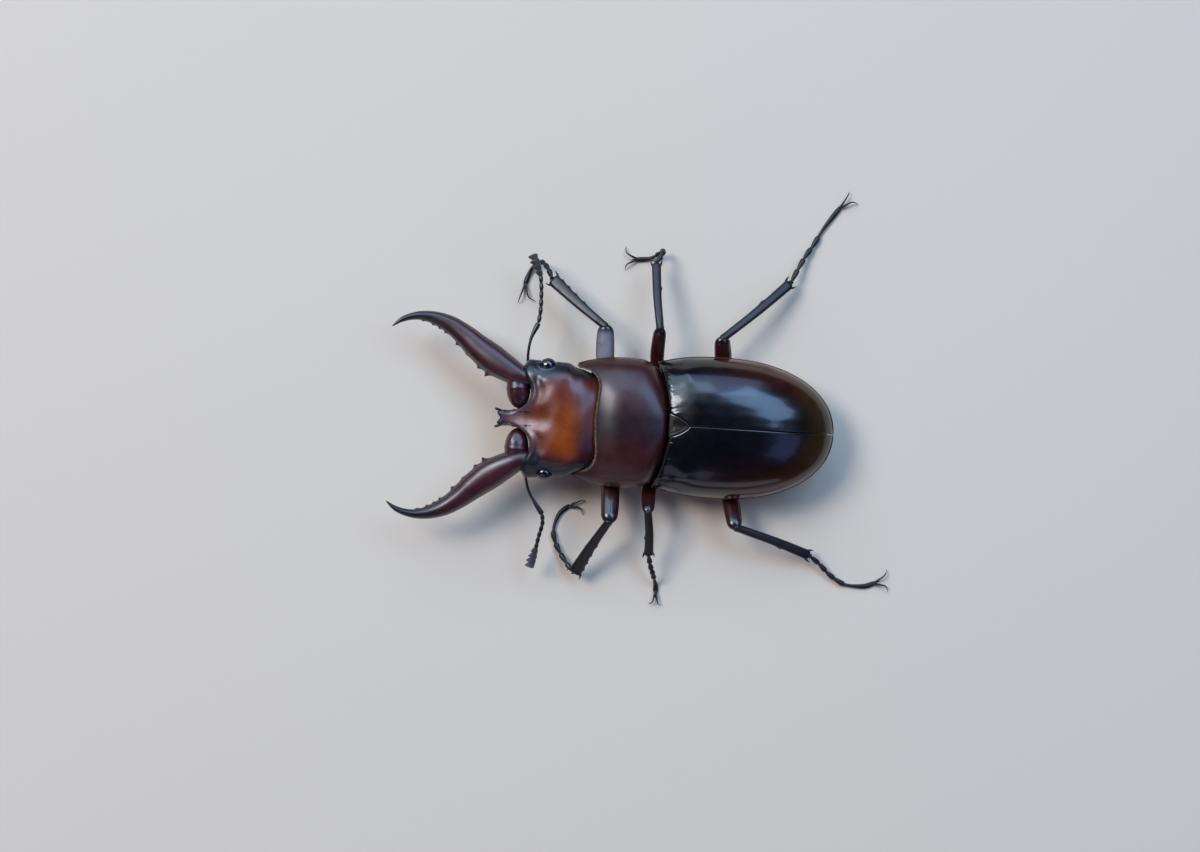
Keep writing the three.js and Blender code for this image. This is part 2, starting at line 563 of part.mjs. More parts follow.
const elytronLeft = wingCases.intersect(halfSpace("x", gap / 2, reach));
const elytronRight = wingCases.intersect(halfSpace("x", -reach, -gap / 2));
const trunk = new THREE.Group();
trunk.add(namedMesh("pronotum", pronotumPlate, tint.chestnut, 0.3));
trunk.add(namedMesh("prosternum", prosternumPlate, tint.underside, 0.4));
trunk.add(namedMesh("scutellum", scutellumPlate, tint.shell, 0.35));
trunk.add(namedMesh("elytron_left", elytronLeft, tint.shell, 0.18));
trunk.add(namedMesh("elytron_right", elytronRight, tint.shell, 0.18));
trunk.add(namedMesh("thorax", thorax, tint.underside, 0.4));
trunk.add(namedMesh("abdomen", abdomen, tint.underside, 0.35));
beetle.add(trunk);

for (const [name, leg, pair] of legList) {
  const limbGroup = new THREE.Group();
  const socket = coxa(leg, pair).subtract(femur(leg, pair, gap));
  const upper = femur(leg, pair).subtract(tibia(leg, pair, gap));
  const lower = tibia(leg, pair).subtract(tarsus(leg, gap));
  limbGroup.add(namedMesh(`coxa_${name}`, socket, tint.underside, 0.35));
  limbGroup.add(namedMesh(`femur_${name}`, upper, tint.thigh, 0.25));
  limbGroup.add(namedMesh(`tibia_${name}`, lower, tint.leg, 0.3));
  limbGroup.add(namedMesh(`tarsus_${name}`, tarsus(leg), tint.leg, 0.2));
  beetle.add(limbGroup);
}

// The feet stand at Z = 0 already; the origin goes to the middle of the footprint.
const middle = new THREE.Box3().setFromObject(beetle).getCenter(new THREE.Vector3());
beetle.position.set(-middle.x, -middle.y, 0);

export default beetle;
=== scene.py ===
import math
import bpy
import numpy as np
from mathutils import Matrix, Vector


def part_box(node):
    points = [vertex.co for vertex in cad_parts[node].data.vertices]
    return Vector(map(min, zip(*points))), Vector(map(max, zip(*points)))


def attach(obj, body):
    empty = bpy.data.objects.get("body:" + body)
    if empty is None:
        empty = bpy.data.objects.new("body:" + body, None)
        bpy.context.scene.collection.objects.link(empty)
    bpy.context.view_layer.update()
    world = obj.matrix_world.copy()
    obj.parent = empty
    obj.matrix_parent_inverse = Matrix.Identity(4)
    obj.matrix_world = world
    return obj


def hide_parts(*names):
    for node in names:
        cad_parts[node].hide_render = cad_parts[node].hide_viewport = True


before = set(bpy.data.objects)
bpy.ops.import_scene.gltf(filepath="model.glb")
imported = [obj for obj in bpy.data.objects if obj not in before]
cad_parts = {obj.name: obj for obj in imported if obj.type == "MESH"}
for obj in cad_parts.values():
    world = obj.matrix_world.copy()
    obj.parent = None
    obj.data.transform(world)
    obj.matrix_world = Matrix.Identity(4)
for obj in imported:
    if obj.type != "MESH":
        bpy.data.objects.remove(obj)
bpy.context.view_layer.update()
print("frame loaded:", len(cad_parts), "nodes")

mm = 0.001

# Every shape below is in millimetres on the beetle's own plan: the waist is at y = 0, the head points to -y
# and the beetle's left is +x. The head, jaws and antennae are measured from the neck, which turns a little.
# The CAD eyes give the place of both in the frame.
headPose = {"neck": -9.0, "eyeForward": 5.8}

eyeCentre = {side: sum(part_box("eye_" + side), Vector()) / 2 for side in ("left", "right")}
eyeLine = eyeCentre["left"] - eyeCentre["right"]
headTurn = math.atan2(eyeLine.y, eyeLine.x)
faceWay = Vector((math.sin(headTurn), -math.cos(headTurn), 0))
neckPlace = (eyeCentre["left"] + eyeCentre["right"]) / 2 - faceWay * headPose["eyeForward"] * mm
waistPlace = neckPlace - Vector((0, headPose["neck"] * mm, 0))


def toFrame(points, onHead=False):
    plan = np.asarray(points, float).reshape(-1, 3)
    turn = headTurn if onHead else 0.0
    origin = neckPlace if onHead else waistPlace
    x = plan[:, 0] * math.cos(turn) - plan[:, 1] * math.sin(turn)
    y = plan[:, 0] * math.sin(turn) + plan[:, 1] * math.cos(turn)
    return np.stack([x * mm + origin.x, y * mm + origin.y, plan[:, 2] * mm], -1)


# Small shape tools

def power(value, exponent):
    return np.sign(value) * np.abs(value) ** exponent


def bump(distance, at, width):
    return np.exp(-(((distance - at) / width) ** 2))


def fade(value, start, end):
    t = np.clip((value - start) / (end - start), 0, 1)
    return t * t * (3 - 2 * t)


def mix(a, b, t):
    return a + (b - a) * t


def roll(distance, radius):  # how far a surface has dropped at this distance from a rounded edge
    inside = radius - np.clip(distance, 0, radius)
    return radius - np.sqrt(np.maximum(radius ** 2 - inside ** 2, 0))


def bands(distance, rows):  # beads and gutters along an edge: the rise, place and width of each
    return sum(rise * bump(distance, at, width) for rise, at, width in rows)


def swellings(x, y, rows):  # domes and hollows: the rise, middle and reach along x and y of each
    return sum(rise * bump(np.hypot((x - midX) / reachX, (y - midY) / reachY), 0, 1)
               for rise, midX, midY, reachX, reachY in rows.values())


def unit(vectors):
    return vectors / np.maximum(np.linalg.norm(vectors, axis=-1, keepdims=True), 1e-9)


def anglesRound(count):
    return np.linspace(0, 2 * math.pi, count, endpoint=False)


def crowdedEnds(count, crowding):  # 0 to 1, with short steps at both ends
    t = np.linspace(0, 1, count)
    return t - crowding * np.sin(2 * math.pi * t) / (2 * math.pi)


def smoothLine(points, perSpan=80):  # a centripetal spline through the points
    p = np.asarray(points, float)
    q = np.vstack([2 * p[0] - p[1], p, 2 * p[-1] - p[-2]])
    spans = []
    t = np.linspace(0, 1, perSpan, endpoint=False)[:, None]
    for a, b, c, d in zip(q[:-3], q[1:-2], q[2:-1], q[3:]):
        da, db, dc = (max(np.linalg.norm(step), 1e-6) ** 0.5 for step in (b - a, c - b, d - c))
        start = ((b - a) / da - (c - a) / (da + db) + (c - b) / db) * db
        end = ((c - b) / db - (d - b) / (db + dc) + (d - c) / dc) * db
        squared = 3 * (c - b) - 2 * start - end
        cubed = 2 * (b - c) + start + end
        spans.append(b + start * t + squared * t ** 2 + cubed * t ** 3)
    return np.vstack([*spans, p[-1:]])


def lengthsAlong(line):
    return np.concatenate([[0], np.cumsum(np.linalg.norm(np.diff(line, axis=0), axis=1))])


def along(line, shares):  # points of a polyline at these shares of its length
    lengths = lengthsAlong(line)
    wanted = np.asarray(shares) * lengths[-1]
    return np.stack([np.interp(wanted, lengths, line[:, k]) for k in range(line.shape[1])], -1)


def arcFrom(grid, axis, fromEnd=False):  # distance along one way of a grid of points, from its start or end
    steps = np.linalg.norm(np.diff(grid, axis=axis), axis=-1)
    total = np.concatenate([np.zeros_like(np.take(steps, [0], axis)), np.cumsum(steps, axis)], axis)
    return np.take(total, [-1], axis) - total if fromEnd else total


def distanceTo(points, line):  # shortest distance of each point to a polyline
    shape = points.shape[:-1]
    flat = points.reshape(-1, points.shape[-1])
    nearest = np.full(len(flat), 1e9)
    for a, b in zip(line[:-1], line[1:]):
        step = b - a
        t = np.clip((flat - a) @ step / max(step @ step, 1e-12), 0, 1)
        nearest = np.minimum(nearest, np.linalg.norm(flat - a - t[:, None] * step, axis=1))
    return nearest.reshape(shape)


def swollen(grid, depth, closed=False):  # moves a grid of points along the cross product of its two ways
    rows = np.gradient(grid, axis=0)
    columns = np.roll(grid, -1, 1) - np.roll(grid, 1, 1) if closed else np.gradient(grid, axis=1)
    return grid + unit(np.cross(rows, columns)) * np.asarray(depth)[..., None]


# Shells: points with faces, and masks that the materials read as attributes

def shellFrom(points, quads, triangles=None, **masks):
    points = np.asarray(points, float).reshape(-1, 3)
    triangles = np.zeros((0, 3), int) if triangles is None else triangles
    split = np.vstack([quads[:, [0, 1, 2]], quads[:, [0, 2, 3]], triangles])
    a, b, c = (points[split[:, k]] for k in range(3))
    if np.einsum("ij,ij->", a, np.cross(b, c)) < 0:  # its faces must point outwards
        quads, triangles = quads[:, ::-1], triangles[:, ::-1]
    full = {name: np.broadcast_to(mask, len(points)) for name, mask in masks.items()}
    return {"points": points, "quads": quads, "triangles": triangles, "masks": full}


def tube(rings, poles=None, **masks):  # closed rings one after another, with a pole at each end
    count, sides = rings.shape[:2]
    ids = np.arange(count * sides).reshape(count, sides)
    nextTo = np.roll(ids, -1, axis=1)
    quads = np.stack([ids[:-1], nextTo[:-1], nextTo[1:], ids[1:]], -1).reshape(-1, 4)
    first = np.stack([nextTo[0], ids[0], np.full(sides, count * sides)], -1)
    last = np.stack([ids[-1], nextTo[-1], np.full(sides, count * sides + 1)], -1)
    ends = [rings[0].mean(0), rings[-1].mean(0)] if poles is None else poles
    full = {}
    for name, mask in masks.items():
        mask = np.broadcast_to(mask, (count, sides))
        full[name] = np.concatenate([mask.ravel(), [mask[0].mean(), mask[-1].mean()]])
    return shellFrom(np.vstack([rings.reshape(-1, 3), ends]), quads, np.vstack([first, last]), **full)


def perimeter(rows, columns):
    ids = np.arange(rows * columns).reshape(rows, columns)
    return np.concatenate([ids[0, :-1], ids[:-1, -1], ids[-1, :0:-1], ids[:0:-1, 0]])


def slab(top, bottom, rims=(), **masks):  # two grids joined round their edges, by way of the rims
    rows, columns = top.shape[:2]
    size = rows * columns
    edge = perimeter(rows, columns)
    ids = np.arange(size).reshape(rows, columns)
    face = np.stack([ids[:-1, :-1], ids[:-1, 1:], ids[1:, 1:], ids[1:, :-1]], -1).reshape(-1, 4)
    between = [size + k * len(edge) + np.arange(len(edge)) for k in range(len(rims))]
    under = size + len(rims) * len(edge)
    loops = [edge, *between, under + edge]
    walls = [np.stack([a, b, np.roll(b, -1), np.roll(a, -1)], -1) for a, b in zip(loops[:-1], loops[1:])]
    points = np.vstack([top.reshape(-1, 3), *rims, bottom.reshape(-1, 3)])
    full = {}
    for name, mask in masks.items():
        flat = np.broadcast_to(mask, (rows, columns)).ravel()
        full[name] = np.concatenate([flat, *[flat[edge] for _ in rims], flat])
    return shellFrom(points, np.vstack([face, *walls, face[:, ::-1] + under]), **full)


def ovoid(centre, radii, rings=48, sides=64, shape=None, **masks):
    tilt = np.linspace(0, math.pi, rings + 2)[1:-1, None]
    around = anglesRound(sides)[None]
    across, up = np.sin(tilt) * np.cos(around), np.sin(tilt) * np.sin(around)
    ball = np.stack([across, -np.cos(tilt) * np.ones_like(around), up], -1)
    if shape:
        ball = ball * shape(ball)[..., None]
    poles = np.array([[0, -1.0, 0], [0, 1.0, 0]])
    return tube(ball * radii + centre, poles * radii + centre, **masks)


def mirrored(shell):
    return dict(
        shell,
        points=shell["points"] * [-1, 1, 1],
        quads=shell["quads"][:, ::-1],
        triangles=shell["triangles"][:, ::-1],
    )


sideSigns = {"left": 1, "right": -1}


def onSide(shell, sign):
    return shell if sign > 0 else mirrored(shell)


def makePiece(name, shells, finish, nodes, onHead=False):
    sizes = np.cumsum([0] + [len(shell["points"]) for shell in shells])
    points = toFrame(np.vstack([shell["points"] for shell in shells]), onHead)
    quads = np.vstack([shell["quads"] + start for shell, start in zip(shells, sizes)])
    triangles = np.vstack([shell["triangles"] + start for shell, start in zip(shells, sizes)])
    corners = np.concatenate([quads.ravel(), triangles.ravel()]).astype(np.int32)
    starts = np.concatenate([np.arange(len(quads)) * 4, len(quads) * 4 + np.arange(len(triangles)) * 3])
    mesh = bpy.data.meshes.new(name)
    mesh.vertices.add(len(points))
    mesh.vertices.foreach_set("co", points.ravel())
    mesh.loops.add(len(corners))
    mesh.loops.foreach_set("vertex_index", corners)
    mesh.polygons.add(len(starts))
    mesh.polygons.foreach_set("loop_start", starts.astype(np.int32))
    mesh.polygons.foreach_set("use_smooth", np.ones(len(starts), bool))
    mesh.update(calc_edges=True)
    for mask in shells[0]["masks"]:
        values = np.concatenate([shell["masks"][mask] for shell in shells])
        mesh.attributes.new(mask, "FLOAT", "POINT").data.foreach_set("value", values.astype(np.float32))
    mesh.materials.append(finishes[finish])
    declare(linked(name, mesh), nodes)


def linked(name, data):
    made = bpy.data.objects.new(name, data)
    bpy.context.scene.collection.objects.link(made)
    return made


def declare(piece, nodes=()):
    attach(piece, "root")
    if nodes:
        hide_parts(*nodes)


# Finishes

def colour(code):  # "aabbcc" as the eye sees it, to the renderer's own scale
    parts = [int(code[k:k + 2], 16) / 255 for k in (0, 2, 4)]
    return (*(part / 12.92 if part <= 0.04045 else ((part + 0.055) / 1.055) ** 2.4 for part in parts), 1)


def addNode(tree, kind, inputs=None, **settings):
    node = tree.nodes.new(kind)
    for key, value in settings.items():
        setattr(node, key, value)
    for key, value in (inputs or {}).items():
        if isinstance(value, bpy.types.NodeSocket):
            tree.links.new(value, node.inputs[key])
        else:
            node.inputs[key].default_value = value
    return node


def addMath(tree, operation, a, b):
    return addNode(tree, "ShaderNodeMath", {0: a, 1: b}, operation=operation).outputs[0]


def setSockets(node, values):
    for key, value in values.items():
        node.inputs[key].default_value = value


def newMaterial(name):
    material = bpy.data.materials.new(name)
    material.use_nodes = True
    return material, material.node_tree, material.node_tree.nodes["Principled BSDF"]


def newGroup(name, kind, inputs, outputs):
    group = bpy.data.node_groups.new(name, kind)
    for key, socket, value in inputs:
        made = group.interface.new_socket(key, in_out="INPUT", socket_type=socket)
        if value is not None:
            made.default_value = value
    for key, socket in outputs:
        group.interface.new_socket(key, in_out="OUTPUT", socket_type=socket)
    return group, addNode(group, "NodeGroupInput").outputs, addNode(group, "NodeGroupOutput").inputs


def makeShellGrain():  # the fine pits and the slow waviness of horn, and a soft mottling of its colour
    group, given, result = newGroup("shellGrain", "ShaderNodeTree", [
        ("Vector", "NodeSocketVector", None),
        ("Pits per mm", "NodeSocketFloat", 6.0),
        ("Pit depth", "NodeSocketFloat", 0.3),
        ("Wave depth", "NodeSocketFloat", 0.4),
    ], [("Height", "NodeSocketFloat"), ("Mottle", "NodeSocketFloat")])
    inMillimetres = {0: given["Vector"], "Scale": 1 / mm}
    spot = addNode(group, "ShaderNodeVectorMath", inMillimetres, operation="SCALE").outputs[0]
    pits = addNode(group, "ShaderNodeTexVoronoi", {"Vector": spot, "Scale": given["Pits per mm"]})
    pit = addNode(group, "ShaderNodeMapRange", {
        "Value": pits.outputs["Distance"], "From Min": 0.05, "From Max": 0.3, "To Min": -1.0, "To Max": 0.0,
    }, interpolation_type="SMOOTHSTEP")
    wave = addNode(group, "ShaderNodeTexNoise", {"Vector": spot, "Scale": 0.9, "Detail": 3.0})
    pitHeight = addMath(group, "MULTIPLY", pit.outputs[0], given["Pit depth"])
    waveHeight = addMath(group, "MULTIPLY", wave.outputs[0], given["Wave depth"])
    mottle = addNode(group, "ShaderNodeTexNoise", {
        "Vector": spot, "Scale": 0.55, "Detail": 5.0, "Roughness": 0.6,
    })
    group.links.new(addMath(group, "ADD", pitHeight, waveHeight), result["Height"])
    group.links.new(mottle.outputs[0], result["Mottle"])
    return group


shellGrain = makeShellGrain()


# A look names the ground colour, the colours laid over it by the masks, and the surface's polish and relief.
def shellMaterial(name, look):
    material, tree, shader = newMaterial(name)
    place = addNode(tree, "ShaderNodeTexCoord").outputs["Object"]
    grain = addNode(tree, "ShaderNodeGroup", {"Vector": place, **look.get("grain", {})}, node_tree=shellGrain)
    base = addNode(tree, "ShaderNodeRGB")
    base.outputs[0].default_value = colour(look["ground"])
    painted = base.outputs[0]
    for mask, code in look["over"].items():
        share = addNode(tree, "ShaderNodeAttribute", attribute_name=mask)
        layer = addNode(tree, "ShaderNodeMixRGB", {
            "Fac": share.outputs["Fac"], "Color1": painted, "Color2": colour(code),
        })
        painted = layer.outputs[0]
    mottling = {"Value": grain.outputs["Mottle"], "From Min": 0.3, "From Max": 0.7}
    lighter = {"To Min": 1 - look["mottle"], "To Max": 1 + look["mottle"]}
    uneven = addNode(tree, "ShaderNodeMapRange", mottling | lighter)
    shaded = addNode(tree, "ShaderNodeVectorMath", {
        0: painted, "Scale": uneven.outputs[0],
    }, operation="SCALE")
    tree.links.new(shaded.outputs[0], shader.inputs["Base Color"])
    duller = {"To Min": look["roughness"] * 0.85, "To Max": look["roughness"] * 1.15}
    polish = addNode(tree, "ShaderNodeMapRange", mottling | duller)
    tree.links.new(polish.outputs[0], shader.inputs["Roughness"])
    relief = addNode(tree, "ShaderNodeBump", {
        "Height": grain.outputs["Height"], "Distance": look["relief"] * mm,
    })
    tree.links.new(relief.outputs[0], shader.inputs["Normal"])
    setSockets(shader, look.get("shader", {}))
    return material


looks = {
    "shell": {
        # rim is the shell's brown with a painted reflection of a brown ground in it; bead paints highlights
        # along the suture and base
        "ground": "07060a", "over": {"rim": "5a2612", "tail": "3a2c10", "bead": "6b6650"},
        "roughness": 0.22, "mottle": 0.3, "relief": 0.006,
        "grain": {"Pits per mm": 5.0, "Pit depth": 0.12, "Wave depth": 1.2},
        "shader": {"Specular IOR Level": 0.45, "Coat Weight": 0.4, "Coat Roughness": 0.09},
    },
    "chestnut": {
        # middle paints shade down the pronotum's middle; bead paints highlights along its front and hind
        # beads
        "ground": "3c1513", "over": {"middle": "19060a", "rim": "1a1013", "bead": "7d6a50"},
        "roughness": 0.38, "mottle": 0.3, "relief": 0.008,
        "grain": {"Pits per mm": 7.0, "Pit depth": 0.5, "Wave depth": 1.0},
        "shader": {"Specular IOR Level": 0.42, "Coat Weight": 0.25, "Coat Roughness": 0.2},
    },
    "russet": {
        # neck is a darker red near the collar, part of it painted shade; rim is a painted grey sheen along
        # the edges
        "ground": "6e2a12", "over": {"glow": "96420a", "neck": "3c0d0a", "rim": "463640", "cheek": "17141d"},
        "roughness": 0.3, "mottle": 0.2, "relief": 0.01,
        "grain": {"Pits per mm": 7.0, "Pit depth": 0.35, "Wave depth": 1.0},
        "shader": {"Coat Weight": 0.2, "Coat Roughness": 0.22},
    },
    "jaw": {
        "ground": "3d1016", "over": {"tip": "0d090c", "rim": "1c0d12"}, "roughness": 0.37,
        "mottle": 0.25, "relief": 0.008, "grain": {"Pits per mm": 6.0, "Pit depth": 0.6, "Wave depth": 1.0},
        "shader": {"Specular IOR Level": 0.58, "Coat Weight": 0.4, "Coat Roughness": 0.25},
    },
    "thigh": {
        # smoke is a light grey painted reflection on the top of the front right thigh
        "ground": "3a120e", "over": {"smoke": "b4b0b4", "tip": "151012"}, "roughness": 0.3, "mottle": 0.25,
        "relief": 0.008, "grain": {"Pits per mm": 6.0, "Pit depth": 0.5, "Wave depth": 0.8},
        "shader": {"Specular IOR Level": 0.5, "Coat Weight": 0.6, "Coat Roughness": 0.08},
    },
    "leg": {
        "ground": "1d1614", "over": {"tip": "0a090b"}, "roughness": 0.4, "mottle": 0.3, "relief": 0.012,
        "grain": {"Pits per mm": 7.0, "Pit depth": 0.9, "Wave depth": 1.0},
        "shader": {"Specular IOR Level": 0.42, "Coat Weight": 0.18, "Coat Roughness": 0.2},
    },
    "underside": {
        "ground": "2b120c", "over": {"rim": "120a0a"}, "roughness": 0.34, "mottle": 0.35, "relief": 0.014,
        "grain": {"Pits per mm": 5.0, "Pit depth": 1.0, "Wave depth": 1.0},
        "shader": {"Coat Weight": 0.3, "Coat Roughness": 0.2},
    },
    "feeler": {
        "ground": "140f10", "over": {"tip": "241c18"}, "roughness": 0.3, "mottle": 0.25, "relief": 0.006,
        "shader": {"Coat Weight": 0.3, "Coat Roughness": 0.2},
    },
    "club": {
        "ground": "352c30", "over": {"tip": "4d4345"}, "roughness": 0.85, "mottle": 0.35, "relief": 0.02,
        "grain": {"Pits per mm": 24.0, "Pit depth": 1.0, "Wave depth": 0.5},
        "shader": {"Coat Weight": 0.0, "Sheen Weight": 0.5, "Sheen Roughness": 0.4},
    },
    "hair": {
        "ground": "6b5f42", "over": {"tip": "a89d78"}, "roughness": 0.5, "mottle": 0.3, "relief": 0.001,
    },
    "gold": {
        "ground": "7a4a18", "over": {"tip": "c98b35"}, "roughness": 0.5, "mottle": 0.3, "relief": 0.001,
    },
}
finishes = {name: shellMaterial(name, look) for name, look in looks.items()}


def makeEyeFinish():  # polished black with the small round facets of a compound eye
    look = {
        "ground": "06070b", "seam": "12161f", "facetsPerMm": 32.0, "facetRise": 0.004, "unevenness": 0.35,
        "shader": {"Roughness": 0.12, "Coat Weight": 1.0, "Coat Roughness": 0.03},
    }
    material, tree, shader = newMaterial("eye")
    place = addNode(tree, "ShaderNodeTexCoord").outputs["Object"]
    facets = addNode(tree, "ShaderNodeTexVoronoi", {
        "Vector": place, "Scale": look["facetsPerMm"] / mm, "Randomness": look["unevenness"],
    })
    domes = addMath(tree, "SUBTRACT", 1.0, facets.outputs["Distance"])
    relief = addNode(tree, "ShaderNodeBump", {"Height": domes, "Distance": look["facetRise"] * mm})
    tree.links.new(relief.outputs[0], shader.inputs["Normal"])
    seam = addNode(tree, "ShaderNodeMapRange", {
        "Value": facets.outputs["Distance"], "From Min": 0.3, "From Max": 0.6, "To Min": 0.0, "To Max": 1.0,
    })
    tint = addNode(tree, "ShaderNodeMixRGB", {
        "Fac": seam.outputs[0], "Color1": colour(look["ground"]), "Color2": colour(look["seam"]),
    })
    tree.links.new(tint.outputs[0], shader.inputs["Base Color"])
    setSockets(shader, look["shader"])
    return material


finishes["eye"] = makeEyeFinish()
print("finishes made:", len(finishes))


# Wing cases: half a dome each, from the suture to a beaded side margin, coming together at the round tail
wingCase = {
    "halfWidth": 8.7, "widestAt": 6.2, "tail": 20.8, "margin": 5.4, "seam": 4.9, "top": 10.75,
    "shoulderRun": 7.5, "shoulderPower": 2.3, "tailPower": 2.3, "tailRoot": 2.1,
    "crownPower": 2.2, "crownRoot": 0.58, "browDrop": 0.9, "sidePower": 0.9, "domePower": 0.87,
    "baseLine": [[0, 0.5], [1.6, 0.42], [3.5, 0.05], [5.5, -0.42], [7.0, -1.0], [7.9, -1.5], [9.6, -2.9]],
    "suture": 0.04, "baseRoll": 0.7, "baseDrop": 0.26, "baseDropFromTo": [0.4, 1.2], "columns": 110,
    "rowEnds": [[0.05, 22], [0.16, 34], [1.0, 108]],
    "marginBeads": [(0.11, 0.13, 0.12), (-0.10, 0.48, 0.2)], "sutureBeads": [(-0.03, 0, 0.05)],
    "scutellumGutter": [(-0.06, 0, 0.07)], "humps": {"shoulder": (0.2, 6.1, 2.2, 1.3, 1.3)},
    # rise of the creases behind the base, waves across, their sway and its waves, and reach
    "creases": [(0.022, 5.2, 1.1, 2.1, 0.8), (0.022, 14, 2, 3, 0.6)],
    "striae": {"rise": 0.0035, "fanLength": 9.0, "waves": 46},
    # the turned-in margin: how far in, as a share of the half width, and how far down
    "folds": [(0.0, 0.16), (0.006, 0.34), (0.03, 0.5), (0.08, 0.52), (0.13, 0.45), (0.35, 0.5), (0.7, 0.5)],
}
scutellum = {
    "halfBase": 1.5, "base": 0.3, "shoulder": [0.95, 1.62], "tip": 2.68, "middle": [0, 0.95], "thick": 0.5,
    "edgeRoll": 0.06, "rings": 22, "baseDrop": 0.4,
}


def wingHalfWidth(y):
    w = wingCase
    shoulder = w["halfWidth"] - (np.maximum(w["widestAt"] - y, 0) / w["shoulderRun"]) ** w["shoulderPower"]
    aft = np.clip((y - w["widestAt"]) / (w["tail"] - w["widestAt"]), 0, 1)
    return shoulder * (1 - aft ** w["tailPower"]) ** (1 / w["tailRoot"])


def wingTop(y):
    w = wingCase
    aft = np.clip((y - w["widestAt"]) / (w["tail"] - w["widestAt"]), 0, 1)
    ahead = np.maximum(w["widestAt"] - y, 0) / w["widestAt"]
    crown = (1 - aft ** w["crownPower"]) ** w["crownRoot"]
    return mix(w["margin"], w["top"], crown) - w["browDrop"] * ahead ** 2


def scutellumOutline(grow=0.0):
    s = scutellum
    points = [[s["halfBase"], s["base"]], s["shoulder"], [0.25, s["tip"] - 0.1], [0, s["tip"]]]
    half = smoothLine(points, 16)
    half = half * [1 + grow / s["halfBase"], 1] + [0, grow]
    return np.vstack([half[::-1] * [-1, 1], half])


def scutellumHalf(y):  # its half width in plan at these places
    outline = scutellumOutline()
    half = outline[len(outline) // 2:]
    return np.interp(y, half[:, 1], half[:, 0])


def makeWingCase(side, sign):
    w = wingCase
    u = crowdedEnds(w["columns"], 0.8)
    across = np.sin(u * math.pi / 2)
    up = np.cos(u * math.pi / 2)
    baseSpline = smoothLine(w["baseLine"])
    baseY = np.zeros_like(u)
    for _ in range(30):  # the base line in plan, followed out along this column
        x = w["suture"] + (wingHalfWidth(baseY) - w["suture"]) * across ** w["sidePower"]
        baseY = np.interp(x, baseSpline[:, 0], baseSpline[:, 1])
    (near, nearRows), (mid, midRows), (far, farRows) = w["rowEnds"]
    v = np.concatenate([
        near * (1 - np.cos(np.linspace(0, math.pi / 2, nearRows))),
        np.linspace(near, mid, midRows)[1:],
        mid + (far - mid) * (1 - (1 - np.linspace(0, 1, farRows)[1:-1]) ** 1.9),
    ])
    y = baseY[None] + (w["tail"] - baseY[None]) * v[:, None]
    width = wingHalfWidth(y)
    x = w["suture"] + np.maximum(width - w["suture"], 0) * across ** w["sidePower"]
    z = w["margin"] + (wingTop(y) - w["margin"]) * up ** w["domePower"]
    grid = np.stack([x, y, z], -1)
    fromBase = arcFrom(grid, 0)
    fromMargin = arcFrom(grid, 1, fromEnd=True)
    fromSuture = x - w["suture"]
    aboutScutellum = distanceTo(grid[..., :2], scutellumOutline())
    tucked = fade(scutellumHalf(y) + 0.03 - x, 0, 0.12)  # under the scutellum
    striae = np.sin(np.arctan2(x, w["striae"]["fanLength"]) * w["striae"]["waves"])
    relief = (
        bands(fromMargin, w["marginBeads"]) + bands(fromSuture, w["sutureBeads"])
        + bands(aboutScutellum, w["scutellumGutter"]) + swellings(x, y, w["humps"])
        + w["striae"]["rise"] * striae * fade(fromBase, 1, 4) * fade(width, 1, 4)
    )
    for rise, waves, sway, swayWaves, reach in w["creases"]:
        wave = np.sin(x * waves + sway * np.sin(y * swayWaves))
        relief = relief + rise * wave * np.exp(-fromBase / reach)
    grid = swollen(grid, -relief * (1 - tucked))  # the rows run back and the columns out, so up is minus
    baseDrop = w["baseDrop"] * mix(*w["baseDropFromTo"], fade(x, 1.5, 5))
    grid[..., 2] -= roll(fromBase, w["baseRoll"]) * baseDrop + 0.2 * tucked
    grid[..., 0] = np.maximum(grid[..., 0], w["suture"] / 2)
    small = np.clip(width[:, -1:] / 1.2, 0, 1)
    edge = grid[:, -1:]
    lower = []
    for inward, drop in w["folds"]:
        fold = edge.copy()
        fold[..., 0] = np.maximum(edge[..., 0] * (1 - inward), w["suture"] / 2)
        fold[..., 2] = edge[..., 2] - drop * small
        lower.append(fold)
    inner = grid[:, :1].copy()
    inner[..., 2] = w["margin"] - 0.5 * small
    rings = np.concatenate([grid, *lower, inner], 1)
    spare = len(lower) + 1
    # brown towards the margins and the rear: the shell's own brown, with a painted reflection of a brown
    # ground laid into it
    brownAndReflection = 0.75 * bump(fromMargin, 0, 4.2) * fade(y, 3, 11) + 0.35 * bump(fromMargin, 0, 0.8)
    tail = fade(y + 0.25 * x, 15.5, 22)
    # pale lines painted along the suture and along the base edge: painted highlights on the rounded edges
    line = 0.04 * bump(fromSuture, 0.1, 0.05) * fade(fromBase, 0.3, 1.5) + 0.15 * bump(fromBase, 0.1, 0.08)
    coats = {"rim": (brownAndReflection, 1), "tail": (tail, 0.5), "bead": (line * (1 - tucked), 0)}
    masks = {
        name: np.pad(mask, ((0, 0), (0, spare)), constant_values=beneath)
        for name, (mask, beneath) in coats.items()
    }
    shell = tube(rings, [rings[0].mean(0), [w["suture"] / 2, w["tail"], w["margin"]]], **masks)
    makePiece("wing_case_" + side, [onSide(shell, sign)], "shell", ["elytron_" + side])


for side, sign in sideSigns.items():
    makeWingCase(side, sign)


